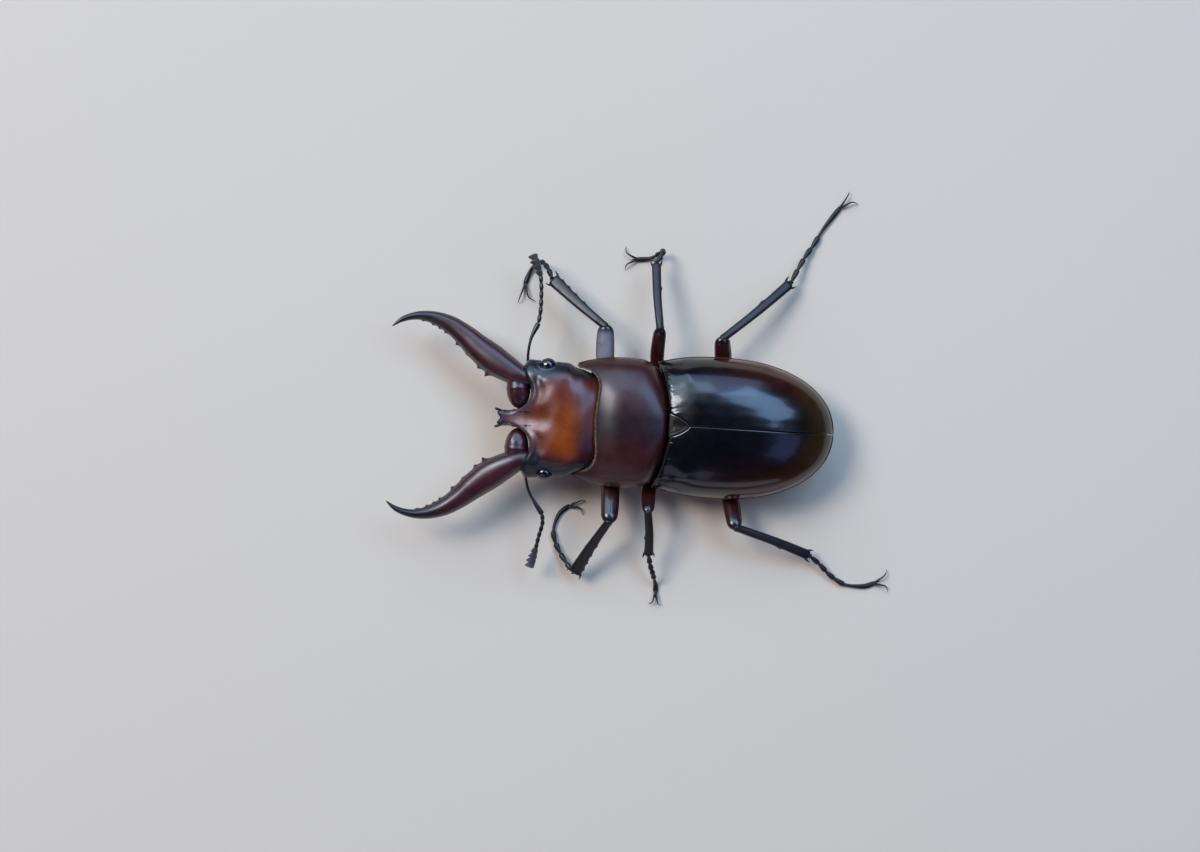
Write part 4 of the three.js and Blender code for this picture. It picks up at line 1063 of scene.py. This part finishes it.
# Legs: joint places from hip to toe, where the foot's points run on from the ankle
legPlan = {
    "front_right": {
        "coxa": [-2.9, -6.7, 3.2], "hip": [-4.5, -7.5, 3.3], "thigh": [-8.0, -8.0, 4.5],
        "knee": [-11.7, -8.15, 6.5], "ankle": [-17.4, -15.2, 3.9],
        "foot": [[-18.7, -15.8, 3.3], [-19.6, -16.7, 1.9], [-19.3, -17.6, 0.8], [-18.3, -18.2, 0.3],
                 [-16.6, -18.75, 0.14]],
        "claws": [[-14.3, -19.5, 0.2], [-14.7, -17.2, 0.2]],
    },
    "front_left": {
        "coxa": [2.9, -6.7, 3.2], "hip": [4.5, -6.9, 3.3], "thigh": [8.2, -6.4, 4.5],
        "knee": [12.3, -6.3, 6.4], "ankle": [19.3, -10.3, 2.0],
        "foot": [[18.1, -11.4, 1.2], [17.0, -12.2, 0.75], [15.6, -12.95, 0.5], [14.1, -13.25, 0.35],
                 [12.0, -12.6, 0.2], [10.85, -11.3, 0.14]],
        "claws": [[10.2, -9.3, 0.2], [12.1, -9.6, 0.2]],
    },
    "middle_right": {
        "coxa": [-3.1, -0.1, 2.9], "hip": [-4.7, -0.9, 2.95], "thigh": [-8.0, -1.5, 3.8],
        "knee": [-11.8, -1.4, 6.5], "ankle": [-20.2, -2.3, 3.5],
        "foot": [[-21.4, -1.6, 2.9], [-21.9, -1.5, 1.9], [-21.4, -2.2, 0.9], [-20.95, -3.3, 0.3],
                 [-20.75, -4.9, 0.14]],
        "claws": [[-22.4, -6.2, 0.2], [-19.3, -6.1, 0.2]],
    },
    "middle_left": {
        "coxa": [3.1, -0.1, 2.9], "hip": [4.7, -0.9, 2.95], "thigh": [7.8, -1.5, 3.8],
        "knee": [10.8, -1.6, 6.5], "ankle": [16.4, -1.1, 3.5],
        "foot": [[17.7, -0.8, 3.1], [18.8, -0.4, 2.2], [19.7, -0.1, 1.0], [20.4, 0.1, 0.3],
                 [21.4, 0.15, 0.14]],
        "claws": [[22.7, -0.7, 0.2], [22.9, 0.9, 0.2]],
    },
    "hind_right": {
        "coxa": [-3.3, 7.5, 2.9], "hip": [-5.2, 7.2, 2.7], "thigh": [-8.6, 6.8, 3.4],
        "knee": [-11.1, 6.4, 5.2], "ankle": [-18.8, 14.8, 1.9],
        "foot": [[-21.1, 15.9, 1.2], [-22.5, 16.65, 0.8], [-24.1, 17.65, 0.5], [-25.9, 18.6, 0.3],
                 [-29.0, 20.75, 0.14]],
        "claws": [[-29.4, 23.0, 0.2], [-31.0, 21.7, 0.2]],
    },
    "hind_left": {
        "coxa": [3.3, 7.5, 2.9], "hip": [5.2, 7.6, 2.7], "thigh": [8.8, 8.7, 3.4],
        "knee": [12.2, 9.4, 5.2], "ankle": [15.35, 19.2, 1.8],
        "foot": [[16.5, 20.7, 1.1], [17.55, 21.8, 0.8], [18.3, 22.9, 0.55], [18.85, 24.1, 0.35],
                 [18.9, 26.7, 0.2], [18.4, 27.9, 0.14]],
        "claws": [[16.6, 29.3, 0.2], [19.5, 29.6, 0.2]],
    },
}
pairShape = {  # socket radii, fullest half width of thigh and shin, where the shin's outer teeth stand
    "front": {
        "socket": [1.9, 1.15, 1.05], "thigh": 1.16, "shin": 0.86, "flat": 0.8,
        "teeth": [0.46, 0.62, 0.76, 0.88],
    },
    "middle": {"socket": [1.9, 1.1, 0.95], "thigh": 0.88, "shin": 0.62, "flat": 1.0, "teeth": [0.62]},
    "hind": {"socket": [2.5, 0.95, 0.95], "thigh": 1.08, "shin": 0.68, "flat": 1.0, "teeth": [0.62]},
}
limbShape = {
    "flatness": 0.68, "slimmest": 0.5, "swellFrom": 0.14, "swellRun": 0.66, "swellPower": 0.8,
    "kneeRound": 0.13, "kneeHalf": [0.52, 0.48], "ankleHalfHeight": 0.47, "flarePower": 1.5,
    "toothRise": 0.2, "toothWidth": 0.03,
    "thighSides": 56, "shinSides": 56, "footSides": 32, "clawSides": 24,
    "kneeLap": 0.3, "toeEnds": [0.02, 0.17, 0.31, 0.45, 0.6, 1], "toeThin": 0.21, "toeThick": 0.35,
    "toeFullest": 0.8,
    # smoke: how strongly each listed thigh's top is painted light grey as a reflection
    "clawHalf": 0.2, "clawArch": 0.62, "clawBow": 0.5, "smoke": {"front_right": 0.7},
}


def makeThigh(name, leg, pair):
    s = limbShape
    shares = easedShares(150)
    phase = s["swellFrom"] + s["swellRun"] * shares
    swell = mix(s["slimmest"], 1, np.sin(math.pi * phase) ** s["swellPower"])
    width = pair["thigh"] * swell * roundEnds(shares, s["kneeRound"]) ** 0.9
    collar = 0.09 * bump(shares, 0.085, 0.02) - 0.16 * bump(shares, 0.12, 0.02)
    halves = np.stack([width, width * s["flatness"]], -1) * (1 + collar)[:, None]

    def groove(share, across, up):  # a furrow beneath the knee takes the shin
        return 1 - 0.22 * bump(across, 0, 0.35) * (up < 0) * fade(share, 0.8, 0.95)

    hip, thigh, knee = (np.array(leg[key]) for key in ("hip", "thigh", "knee"))
    past = knee + unit(knee - thigh) * s["kneeLap"]
    rings = limbRings([hip, thigh, past], shares, halves, s["thighSides"], detail=groove)
    # a light grey painted on the top of the front right thigh, fading out at the knee: a painted reflection,
    # which also clears the dark knee there
    smoke = s["smoke"].get(name, 0) * fade(shares, 1.0, 0.85)
    tip = np.clip(fade(shares, 0.72, 1.0) * (1 - smoke) + 0.6 * bump(shares, 0.1, 0.03), 0, 1)
    above = np.sin(anglesRound(s["thighSides"]))
    thigh = tube(rings, smoke=smoke[:, None] * fade(above, 0.15, 0.95), tip=tip[:, None])
    makePiece("thigh_" + name, [thigh], "thigh", ["femur_" + name])


def makeSocket(name, leg, pair):
    def ridges(ball):
        return 1 + 0.06 * bump(np.abs(ball[..., 0]), 0.75, 0.12) - 0.07 * bump(ball[..., 1], 0.2, 0.1)

    root = ovoid(leg["coxa"], pair["socket"], 40, 56, shape=ridges, rim=0.2)
    makePiece("socket_" + name, [root], "underside", ["coxa_" + name])


def thorn(base, point, radius, bow=(0, 0, 0.0), **masks):  # a small curved cone
    base, point = np.asarray(base, float), np.asarray(point, float)
    shares = np.linspace(0.01, 0.97, 14)
    halves = radius * (1 - shares) ** 0.7 * roundEnds(np.minimum(shares, 0.5), 0.06)
    rings = limbRings([base, (base + point) / 2 + bow, point], shares, np.maximum(halves, 0.012), 12)
    return tube(rings, [base, point], **masks)


def makeShin(name, leg, pair):
    s = limbShape
    knee, ankle, hip = (np.array(leg[key]) for key in ("knee", "ankle", "hip"))
    shares = easedShares(230)
    width = mix(s["kneeHalf"][0], pair["shin"], shares ** s["flarePower"])
    height = mix(s["kneeHalf"][1], s["ankleHalfHeight"], shares)
    waist = 1 - 0.06 * bump(shares, 0.1, 0.06)
    halves = np.stack([width, height], -1) * (roundEnds(shares, 0.045) * waist)[:, None]
    ahead = unit(ankle - knee)
    start = knee - ahead * s["kneeLap"]
    outward = unit(np.cross([0, 0, 1], ahead))
    outer = 1 if outward @ (knee - hip) > 0 else -1

    def edges(share, across, up):
        ribs = -0.05 * np.cos(4 * np.arctan2(up, across)) * fade(share, 0.05, 0.25)
        lean = [(share - at) / s["toothWidth"] for at in pair["teeth"]]
        saw = sum(np.exp(-np.abs(x) ** 1.3 * np.where(x > 0, 1.8, 0.7)) * (0.4 + 0.6 * at)
                  for x, at in zip(lean, pair["teeth"]))
        outside = np.clip(outer * across, 0, 1) ** 9
        return 1 + ribs + s["toothRise"] * saw * outside / mix(0.5, pair["shin"], share)

    bend = (knee + ankle) / 2 + outward * outer * -0.12 + [0, 0, 0.12]
    rings = limbRings([start, bend, ankle], shares, halves, s["shinSides"], flat=pair["flat"], detail=edges)
    shells = [tube(rings, tip=fade(shares, 0.8, 1)[:, None])]
    for way in (-1, 1):  # the spurs at the ankle, of which the outer one is stouter
        long = 0.45 if way == outer else 0.34
        root = ankle - ahead * 0.6 + outward * way * (pair["shin"] - 0.32)
        end = ankle + ahead * long + outward * way * (pair["shin"] + 0.3 * long)
        shells.append(thorn(root, end, 0.32 * long + 0.08, bow=outward * way * 0.1, tip=0.8))
        if way == -outer:
            shells.append(thorn(root + [0, 0, -0.15], end + [0, 0, -0.25] - ahead * 0.15, 0.15, tip=0.8))
    makePiece("shin_" + name, shells, "leg", ["tibia_" + name])
    return rings


def makeFoot(name, leg):
    s = limbShape
    shares = np.linspace(0.004, 0.996, 260)
    thick = np.full_like(shares, s["toeThin"])
    full = s["toeFullest"]
    for k, (start, end) in enumerate(zip(s["toeEnds"][:-1], s["toeEnds"][1:])):
        local = np.clip((shares - start) / (end - start), 0, 1)
        inside = (shares >= start) & (shares <= end)
        profile = np.sin(np.clip(local / full, 0, 1) * math.pi / 2) ** (1.2 if k < 4 else 2.2)
        close = np.where(local > full, np.cos((local - full) / (1 - full) * math.pi / 2) ** 0.6, 1)
        grown = mix(s["toeThin"] * 0.85, s["toeThick"] * (1 if k < 4 else 0.92), profile * close)
        thick = np.where(inside, grown, thick)
    thick = np.maximum(thick, 0.36 * fade(shares, 0.06, 0.0))
    halves = (thick * roundEnds(shares, 0.01))[:, None] * [1.0, 0.92]

    def pads(share, across, up):  # each joint carries a pair of short lobes beneath
        return 1 + 0.12 * bump(np.abs(across), 0.6, 0.25) * (up < 0)

    rings = limbRings([leg["ankle"], *leg["foot"]], shares, halves, s["footSides"], detail=pads)
    rings[..., 2] = np.maximum(rings[..., 2], 0.0)
    makePiece("foot_" + name, [tube(rings, tip=fade(shares, 0.5, 1)[:, None])], "leg", ["tarsus_" + name])
    return rings


def makeClaws(name, leg):
    s = limbShape
    before, toe = (np.array(point) for point in leg["foot"][-2:])
    heading = unit((toe - before) * [1, 1, 0])
    shares = np.linspace(0.01, 0.985, 60)
    halves = np.maximum(s["clawHalf"] * (1 - shares) ** 0.6, 0.03)[:, None] * [0.75, 1.0]
    halves = halves * roundEnds(np.minimum(shares, 0.5), 0.04)[:, None]
    root = toe - heading * 0.35 + [0, 0, 0.2]
    shells = []
    for tip in np.array(leg["claws"]):
        bend = (tip + toe) / 2 + heading * s["clawBow"]
        bend[2] = s["clawArch"]
        rings = limbRings([root, bend, tip - [0, 0, 0.1]], shares, halves, s["clawSides"])
        rings[..., 2] = np.maximum(rings[..., 2], 0.0)
        shells.append(tube(rings, tip=1.0))
    onychium = thorn(toe + [0, 0, 0.02], toe + heading * 0.75 + [0, 0, 0.16], 0.09, tip=1.0)
    makePiece("claws_" + name, [*shells, onychium], "leg", [])


shins, feet = {}, {}
for name, leg in legPlan.items():
    pair = pairShape[name.split("_")[0]]
    makeThigh(name, leg, pair)
    makeSocket(name, leg, pair)
    shins[name] = makeShin(name, leg, pair)
    feet[name] = makeFoot(name, leg)
    makeClaws(name, leg)
print("legs made")


# Hairs: thin curved cones on the shells, set out by one Geometry Nodes tree
hairPlans = {  # millimetres, and the number of hairs; standing is how far they rise from the surface
    "collar": {"length": 0.27, "thickness": 0.016, "bend": 0.2, "count": 1100, "standing": 0.25, "seed": 3},
    "brush": {"length": 0.75, "thickness": 0.02, "bend": 0.25, "count": 260, "standing": 0.9, "seed": 5},
    "velvet": {"length": 0.09, "thickness": 0.011, "bend": 0.3, "count": 650, "standing": 0.75, "seed": 7},
    "pads": {"length": 0.24, "thickness": 0.013, "bend": 0.2, "count": 18, "standing": 0.45, "seed": 9},
    "bristles": {"length": 0.32, "thickness": 0.014, "bend": 0.3, "count": 46, "standing": 0.4, "seed": 11},
    "fringes": {"length": 0.22, "thickness": 0.013, "bend": 0.2, "count": 90, "standing": 0.2, "seed": 13},
}
bakePatch = 0.003  # the width of one hair on the unwrap of the shell it grows from


def makeHairTree():
    tree, given, result = newGroup("hairCoat", "GeometryNodeTree", [
        ("Geometry", "NodeSocketGeometry", None),
        ("Length", "NodeSocketFloat", 0.0004),
        ("Thickness", "NodeSocketFloat", 0.00002),
        ("Bend", "NodeSocketFloat", 0.2),
        ("Unevenness", "NodeSocketFloat", 0.3),
        ("Spin", "NodeSocketFloat", 0.7),
        ("Seed", "NodeSocketInt", 1),
        ("Material", "NodeSocketMaterial", None),
    ], [("Geometry", "NodeSocketGeometry")])
    cone = addNode(tree, "GeometryNodeMeshCone", {
        "Vertices": 5, "Side Segments": 3, "Radius Top": 0.0, "Radius Bottom": 1.0, "Depth": 1.0,
    }, fill_type="TRIANGLE_FAN")
    place = addNode(tree, "GeometryNodeInputPosition").outputs[0]
    share = addNode(tree, "ShaderNodeSeparateXYZ", {0: place}).outputs[2]
    withPlace = addNode(tree, "GeometryNodeStoreNamedAttribute", {
        "Geometry": cone.outputs["Mesh"], "Name": "spot", "Value": place,
    }, data_type="FLOAT_VECTOR")
    withTip = addNode(tree, "GeometryNodeStoreNamedAttribute", {
        "Geometry": withPlace.outputs[0], "Name": "tip", "Value": share,
    })
    size = addNode(tree, "ShaderNodeCombineXYZ", {
        0: given["Thickness"], 1: given["Thickness"], 2: given["Length"],
    })
    slim = addNode(tree, "ShaderNodeVectorMath", {0: place, 1: size.outputs[0]}, operation="MULTIPLY")
    squared = addMath(tree, "MULTIPLY", share, share)
    farthest = addMath(tree, "MULTIPLY", given["Bend"], given["Length"])
    bow = addNode(tree, "ShaderNodeCombineXYZ", {0: addMath(tree, "MULTIPLY", squared, farthest)})
    curved = addNode(tree, "ShaderNodeVectorMath", {0: slim.outputs[0], 1: bow.outputs[0]})
    hair = addNode(tree, "GeometryNodeSetPosition", {
        "Geometry": withTip.outputs[0], "Position": curved.outputs[0],
    })
    lie, droop = (
        addNode(tree, "GeometryNodeInputNamedAttribute", {"Name": name}, data_type="FLOAT_VECTOR").outputs[0]
        for name in ("lie", "droop")
    )
    upright = addNode(tree, "FunctionNodeAlignRotationToVector", {"Vector": lie}, axis="Z")
    drooped = addNode(tree, "FunctionNodeAlignRotationToVector", {
        "Rotation": upright.outputs[0], "Vector": droop,
    }, axis="X", pivot_axis="Z")
    leftSpin = addMath(tree, "MULTIPLY", given["Spin"], -1.0)
    spin = addNode(tree, "FunctionNodeRandomValue", {2: leftSpin, 3: given["Spin"], "Seed": given["Seed"]})
    turn = addNode(tree, "ShaderNodeCombineXYZ", {2: spin.outputs[1]})
    spun = addNode(tree, "FunctionNodeRotateRotation", {
        "Rotation": drooped.outputs[0],
        "Rotate By": addNode(tree, "FunctionNodeEulerToRotation", {0: turn.outputs[0]}).outputs[0],
    }, rotation_space="LOCAL")
    short = addMath(tree, "SUBTRACT", 1.0, given["Unevenness"])
    long = addMath(tree, "ADD", 1.0, given["Unevenness"])
    scale = addNode(tree, "FunctionNodeRandomValue", {2: short, 3: long, "Seed": given["Seed"]})
    planted = addNode(tree, "GeometryNodeInstanceOnPoints", {
        "Points": given["Geometry"], "Instance": hair.outputs[0], "Rotation": spun.outputs[0],
        "Scale": scale.outputs[1],
    })
    realized = addNode(tree, "GeometryNodeRealizeInstances", {0: planted.outputs[0]})
    painted = addNode(tree, "GeometryNodeSetMaterial", {
        "Geometry": realized.outputs[0], "Material": given["Material"],
    })
    tree.links.new(painted.outputs[0], result["Geometry"])
    return tree


hairTree = makeHairTree()


def rootsOn(rings, plan, rows=(0.0, 1.0), around=(0.0, 1.0), strip=(0.0, 1.0), seed=1):
    # roots on a part of a limb, between these shares of its rows and of the way round, lying to the far end
    chance = np.random.default_rng(seed)
    last, sides = len(rings) - 1, rings.shape[1]
    row = chance.uniform(*rows, plan["count"]) * last
    way = chance.uniform(*around, plan["count"])
    i = np.clip(row.astype(int), 1, last - 1)
    points = rings[i, (way * sides).astype(int) % sides]
    centres = rings.mean(1)
    outward, ahead = unit(points - centres[i]), unit(centres[i + 1] - centres[i - 1])
    lie = unit(mix(ahead, outward, plan["standing"]))
    rootUv = np.stack([row / last, mix(*strip, way)], -1)
    return {"points": points - outward * plan["thickness"], "lie": lie, "droop": ahead, "rootUv": rootUv}


def joined(parts):
    return {key: np.concatenate([part[key] for part in parts]) for key in parts[0]}


def growHairs(name, roots, plan, finish, onHead=False):
    start = toFrame(roots["points"], onHead)
    ways = {key: unit(toFrame(roots["points"] + roots[key], onHead) - start) for key in ("lie", "droop")}
    lowest = (2 * plan["thickness"] * mm - start[:, 2]) / (1.3 * plan["length"] * mm)
    ways["lie"][:, 2] = np.maximum(ways["lie"][:, 2], lowest)  # no hair goes through the floor
    mesh = bpy.data.meshes.new(name)
    mesh.vertices.add(len(start))
    mesh.vertices.foreach_set("co", start.ravel())
    rootUv = mix(bakePatch, 1 - bakePatch, np.pad(np.clip(roots["rootUv"], 0, 1), ((0, 0), (0, 1))))
    for key, values in dict(ways, rootUv=rootUv).items():
        attribute = mesh.attributes.new(key, "FLOAT_VECTOR", "POINT")
        attribute.data.foreach_set("vector", values.astype(np.float32).ravel())
    piece = linked(name, mesh)
    modifier = piece.modifiers.new("coat", "NODES")
    modifier.node_group = hairTree
    settings = {
        "Length": plan["length"] * mm, "Thickness": plan["thickness"] * mm, "Bend": plan["bend"],
        "Seed": plan["seed"], "Material": finishes[finish],
    }
    for item in hairTree.interface.items_tree:
        if item.name in settings:
            modifier[item.identifier] = settings[item.name]
    grown = bpy.data.meshes.new_from_object(piece.evaluated_get(bpy.context.evaluated_depsgraph_get()))
    piece.modifiers.remove(modifier)
    piece.data = grown
    bpy.data.meshes.remove(mesh)
    grown.name = name
    grown.polygons.foreach_set("use_smooth", np.ones(len(grown.polygons), bool))
    read = {}
    for key in ("spot", "rootUv"):
        values = np.zeros(len(grown.vertices) * 3, np.float32)
        grown.attributes[key].data.foreach_get("vector", values)
        read[key] = values.reshape(-1, 3)
    x, y, height = read["spot"].T
    inside = 1 - np.hypot(x, y) - height  # 1 at the middle of a hair's root, 0 on its side
    patch = np.stack([np.arctan2(y, x) / (2 * math.pi), height - 0.5 - 0.2 * inside], -1)
    corners = np.zeros(len(grown.loops), np.int32)
    grown.loops.foreach_get("vertex_index", corners)
    flat = (read["rootUv"][:, :2] + patch * bakePatch)[corners]
    grown.uv_layers.new(name="OFBake").data.foreach_set("uv", flat.astype(np.float32).ravel())
    for key in ("spot", "rootUv", "lie", "droop"):
        if key in grown.attributes:
            grown.attributes.remove(grown.attributes[key])
    declare(piece)


def growCollar():  # the pale fringe between the pronotum and the head
    plan = hairPlans["collar"]
    chance = np.random.default_rng(plan["seed"])
    edge, behind = saddleGrid[0], saddleGrid[4]
    lengths = lengthsAlong(edge)
    t = chance.uniform(0.02, 0.98, plan["count"]) * lengths[-1]
    root, back = (
        np.stack([np.interp(t, lengths, line[:, k]) for k in range(3)], -1) for line in (edge, behind)
    )
    ahead = unit((root - back) * [1, 1, 0])
    scatter = chance.normal(0, 0.22, (plan["count"], 3))
    lie = unit(ahead + [0, 0, plan["standing"]] + scatter)
    root[:, 2] += chance.uniform(-0.1, 0.12, plan["count"])
    rootUv = np.stack([t / lengths[-1], chance.uniform(0, 0.02, plan["count"])], -1)
    roots = {"points": root - ahead * 0.03, "lie": lie, "droop": np.tile([0, 0, -1.0], (plan["count"], 1))}
    growHairs("collar_fringe", dict(roots, rootUv=rootUv), plan, "hair")


def growBrush():  # the golden brush of the mouth
    plan, m = hairPlans["brush"], mouthShape
    chance = np.random.default_rng(plan["seed"])
    side = chance.uniform(-0.62, 0.62, plan["count"])
    height = chance.uniform(-0.55, 0.5, plan["count"])
    ball = np.stack([side, -np.sqrt(1 - side ** 2 - height ** 2), height], -1)
    lie = unit(ball * [0.5, 1, 0.25] + [0, -0.6, 0.05] + chance.normal(0, 0.12, ball.shape))
    rootUv = 0.5 + np.stack([np.arctan2(side, -ball[:, 1]), np.arcsin(height)], -1) / math.pi
    roots = {"points": ball * m["radii"] * 0.97 + m["centre"], "lie": lie, "rootUv": rootUv}
    inward = ball * [-1, 0, 0] + [0, 0, 0.3]
    growHairs("mouth_brush", dict(roots, droop=inward), plan, "gold", True)


def growVelvet(side):  # the dull coat of the antenna clubs
    plan = hairPlans["velvet"]
    roots = rootsOn(clubs[side], plan, rows=(0.03, 0.98), seed=plan["seed"])
    growHairs("club_velvet_" + side, roots, plan, "club", True)


def growLegHairs():  # pads under the far ends of the short joints of the feet, and bristles down the shins
    pads, bristles = [], []
    count = len(legPlan)
    for number, name in enumerate(legPlan):
        strip = (number / count, (number + 0.95) / count)
        for end in limbShape["toeEnds"][1:-1]:
            rows = (end - 0.05, end)
            seed = 100 + len(pads)
            pads.append(rootsOn(feet[name], hairPlans["pads"], rows, (0.6, 0.9), strip, seed))
        plan = hairPlans["bristles"]
        bristles.append(rootsOn(shins[name], plan, (0.4, 0.97), (0.5, 1.0), strip, seed=200 + number))
    growHairs("foot_pads", joined(pads), hairPlans["pads"], "hair")
    growHairs("shin_bristles", joined(bristles), hairPlans["bristles"], "gold")


def growFringes():  # along the hind ends of the belly's rings
    plan = hairPlans["fringes"]
    fringes = []
    for end in bellyShape["ends"][1:-1]:
        share = np.searchsorted(bellySkin[:, 0, 1], end) / (len(bellySkin) - 1)
        rows = (share - 0.012, share - 0.004)
        fringes.append(rootsOn(bellySkin, plan, rows, (0.52, 0.98), seed=len(fringes)))
    growHairs("belly_fringes", joined(fringes), plan, "gold")


growCollar()
growBrush()
for side in sideSigns:
    growVelvet(side)
growLegHairs()
growFringes()
print("hairs grown")


# Floor, light and camera
stage = {
    "floorHalf": 600, "floorColour": "e5d1b8", "floorShader": {"Roughness": 0.9, "Specular IOR Level": 0.2},
    "lens": 58.3, "sensor": 36.0, "roll": 93.4, "over": [0.61, -8.14, 247.0], "nearest": 5,
    "surround": "8d93a8", "surroundStrength": 0.07, "backdrop": "c9c9cf", "lampsAway": 900,
}
lamps = {  # azimuth and elevation, size along and up, power, tint
    "skyPatch": {"from": (212, 42), "size": (690, 630), "power": 3.9, "tint": "bce1ff"},
    "sideSky": {"from": (174, 42), "size": (500, 520), "power": 1.75, "tint": "a8c2ff"},
    "skyBand": {"from": (136, 56), "size": (600, 350), "power": 3.9, "tint": "9bcaff"},
    "frontFill": {"from": (243, 51), "size": (300, 320), "power": 4.6, "tint": "f0eef8"},
    "leftFill": {"from": (338, 35), "size": (655, 370), "power": 0.57, "tint": "d0ccf8"},
    "farFill": {"from": (4, 14), "size": (980, 190), "power": 0.56, "tint": "dfe2f6"},
    "tailFill": {"from": (70, 50), "size": (390, 275), "power": 0.37, "tint": "8fa8ff"},
}


def makeFloor():
    half = stage["floorHalf"] * mm
    mesh = bpy.data.meshes.new("floor")
    corners = [(-half, -half, 0), (half, -half, 0), (half, half, 0), (-half, half, 0)]
    mesh.from_pydata(corners, [], [range(4)])
    floor = linked("floor", mesh)
    paint, _, shader = newMaterial("floorPaint")
    setSockets(shader, {"Base Color": colour(stage["floorColour"]), **stage["floorShader"]})
    mesh.materials.append(paint)


def makeLamp(name, plan):
    lamp = bpy.data.lights.new(name, "AREA")
    lamp.shape = "RECTANGLE"
    lamp.size, lamp.size_y = (side * mm for side in plan["size"])
    lamp.energy = plan["power"]
    lamp.color = colour(plan["tint"])[:3]
    around, above = (math.radians(angle) for angle in plan["from"])
    aim = Vector((math.cos(around) * math.cos(above), math.sin(around) * math.cos(above), math.sin(above)))
    holder = linked(name, lamp)
    holder.location = aim * stage["lampsAway"] * mm
    holder.rotation_euler = aim.to_track_quat("Z", "Y").to_euler()
    holder.visible_camera = False


def makeSurround():
    world = bpy.data.worlds.new("surround")
    world.use_nodes = True
    tree = world.node_tree
    dim = tree.nodes["Background"]
    dim.inputs["Color"].default_value = colour(stage["surround"])
    dim.inputs["Strength"].default_value = stage["surroundStrength"]
    backdrop = addNode(tree, "ShaderNodeBackground", {"Color": colour(stage["backdrop"])})
    seen = addNode(tree, "ShaderNodeLightPath").outputs["Is Camera Ray"]
    either = addNode(tree, "ShaderNodeMixShader", {0: seen, 1: dim.outputs[0], 2: backdrop.outputs[0]})
    tree.links.new(either.outputs[0], tree.nodes["World Output"].inputs["Surface"])
    bpy.context.scene.world = world
    bpy.context.scene.view_settings.view_transform = "Standard"


def makeCamera():
    camera = linked("camera", bpy.data.cameras.new("camera"))
    camera.data.lens = stage["lens"]
    camera.data.sensor_width = stage["sensor"]
    camera.data.clip_start = stage["nearest"] * mm
    camera.location = Vector(toFrame([stage["over"]])[0])
    camera.rotation_euler = (0, 0, math.radians(stage["roll"]))
    bpy.context.scene.camera = camera


makeFloor()
for name, plan in lamps.items():
    makeLamp(name, plan)
makeSurround()
makeCamera()

print("scene complete")
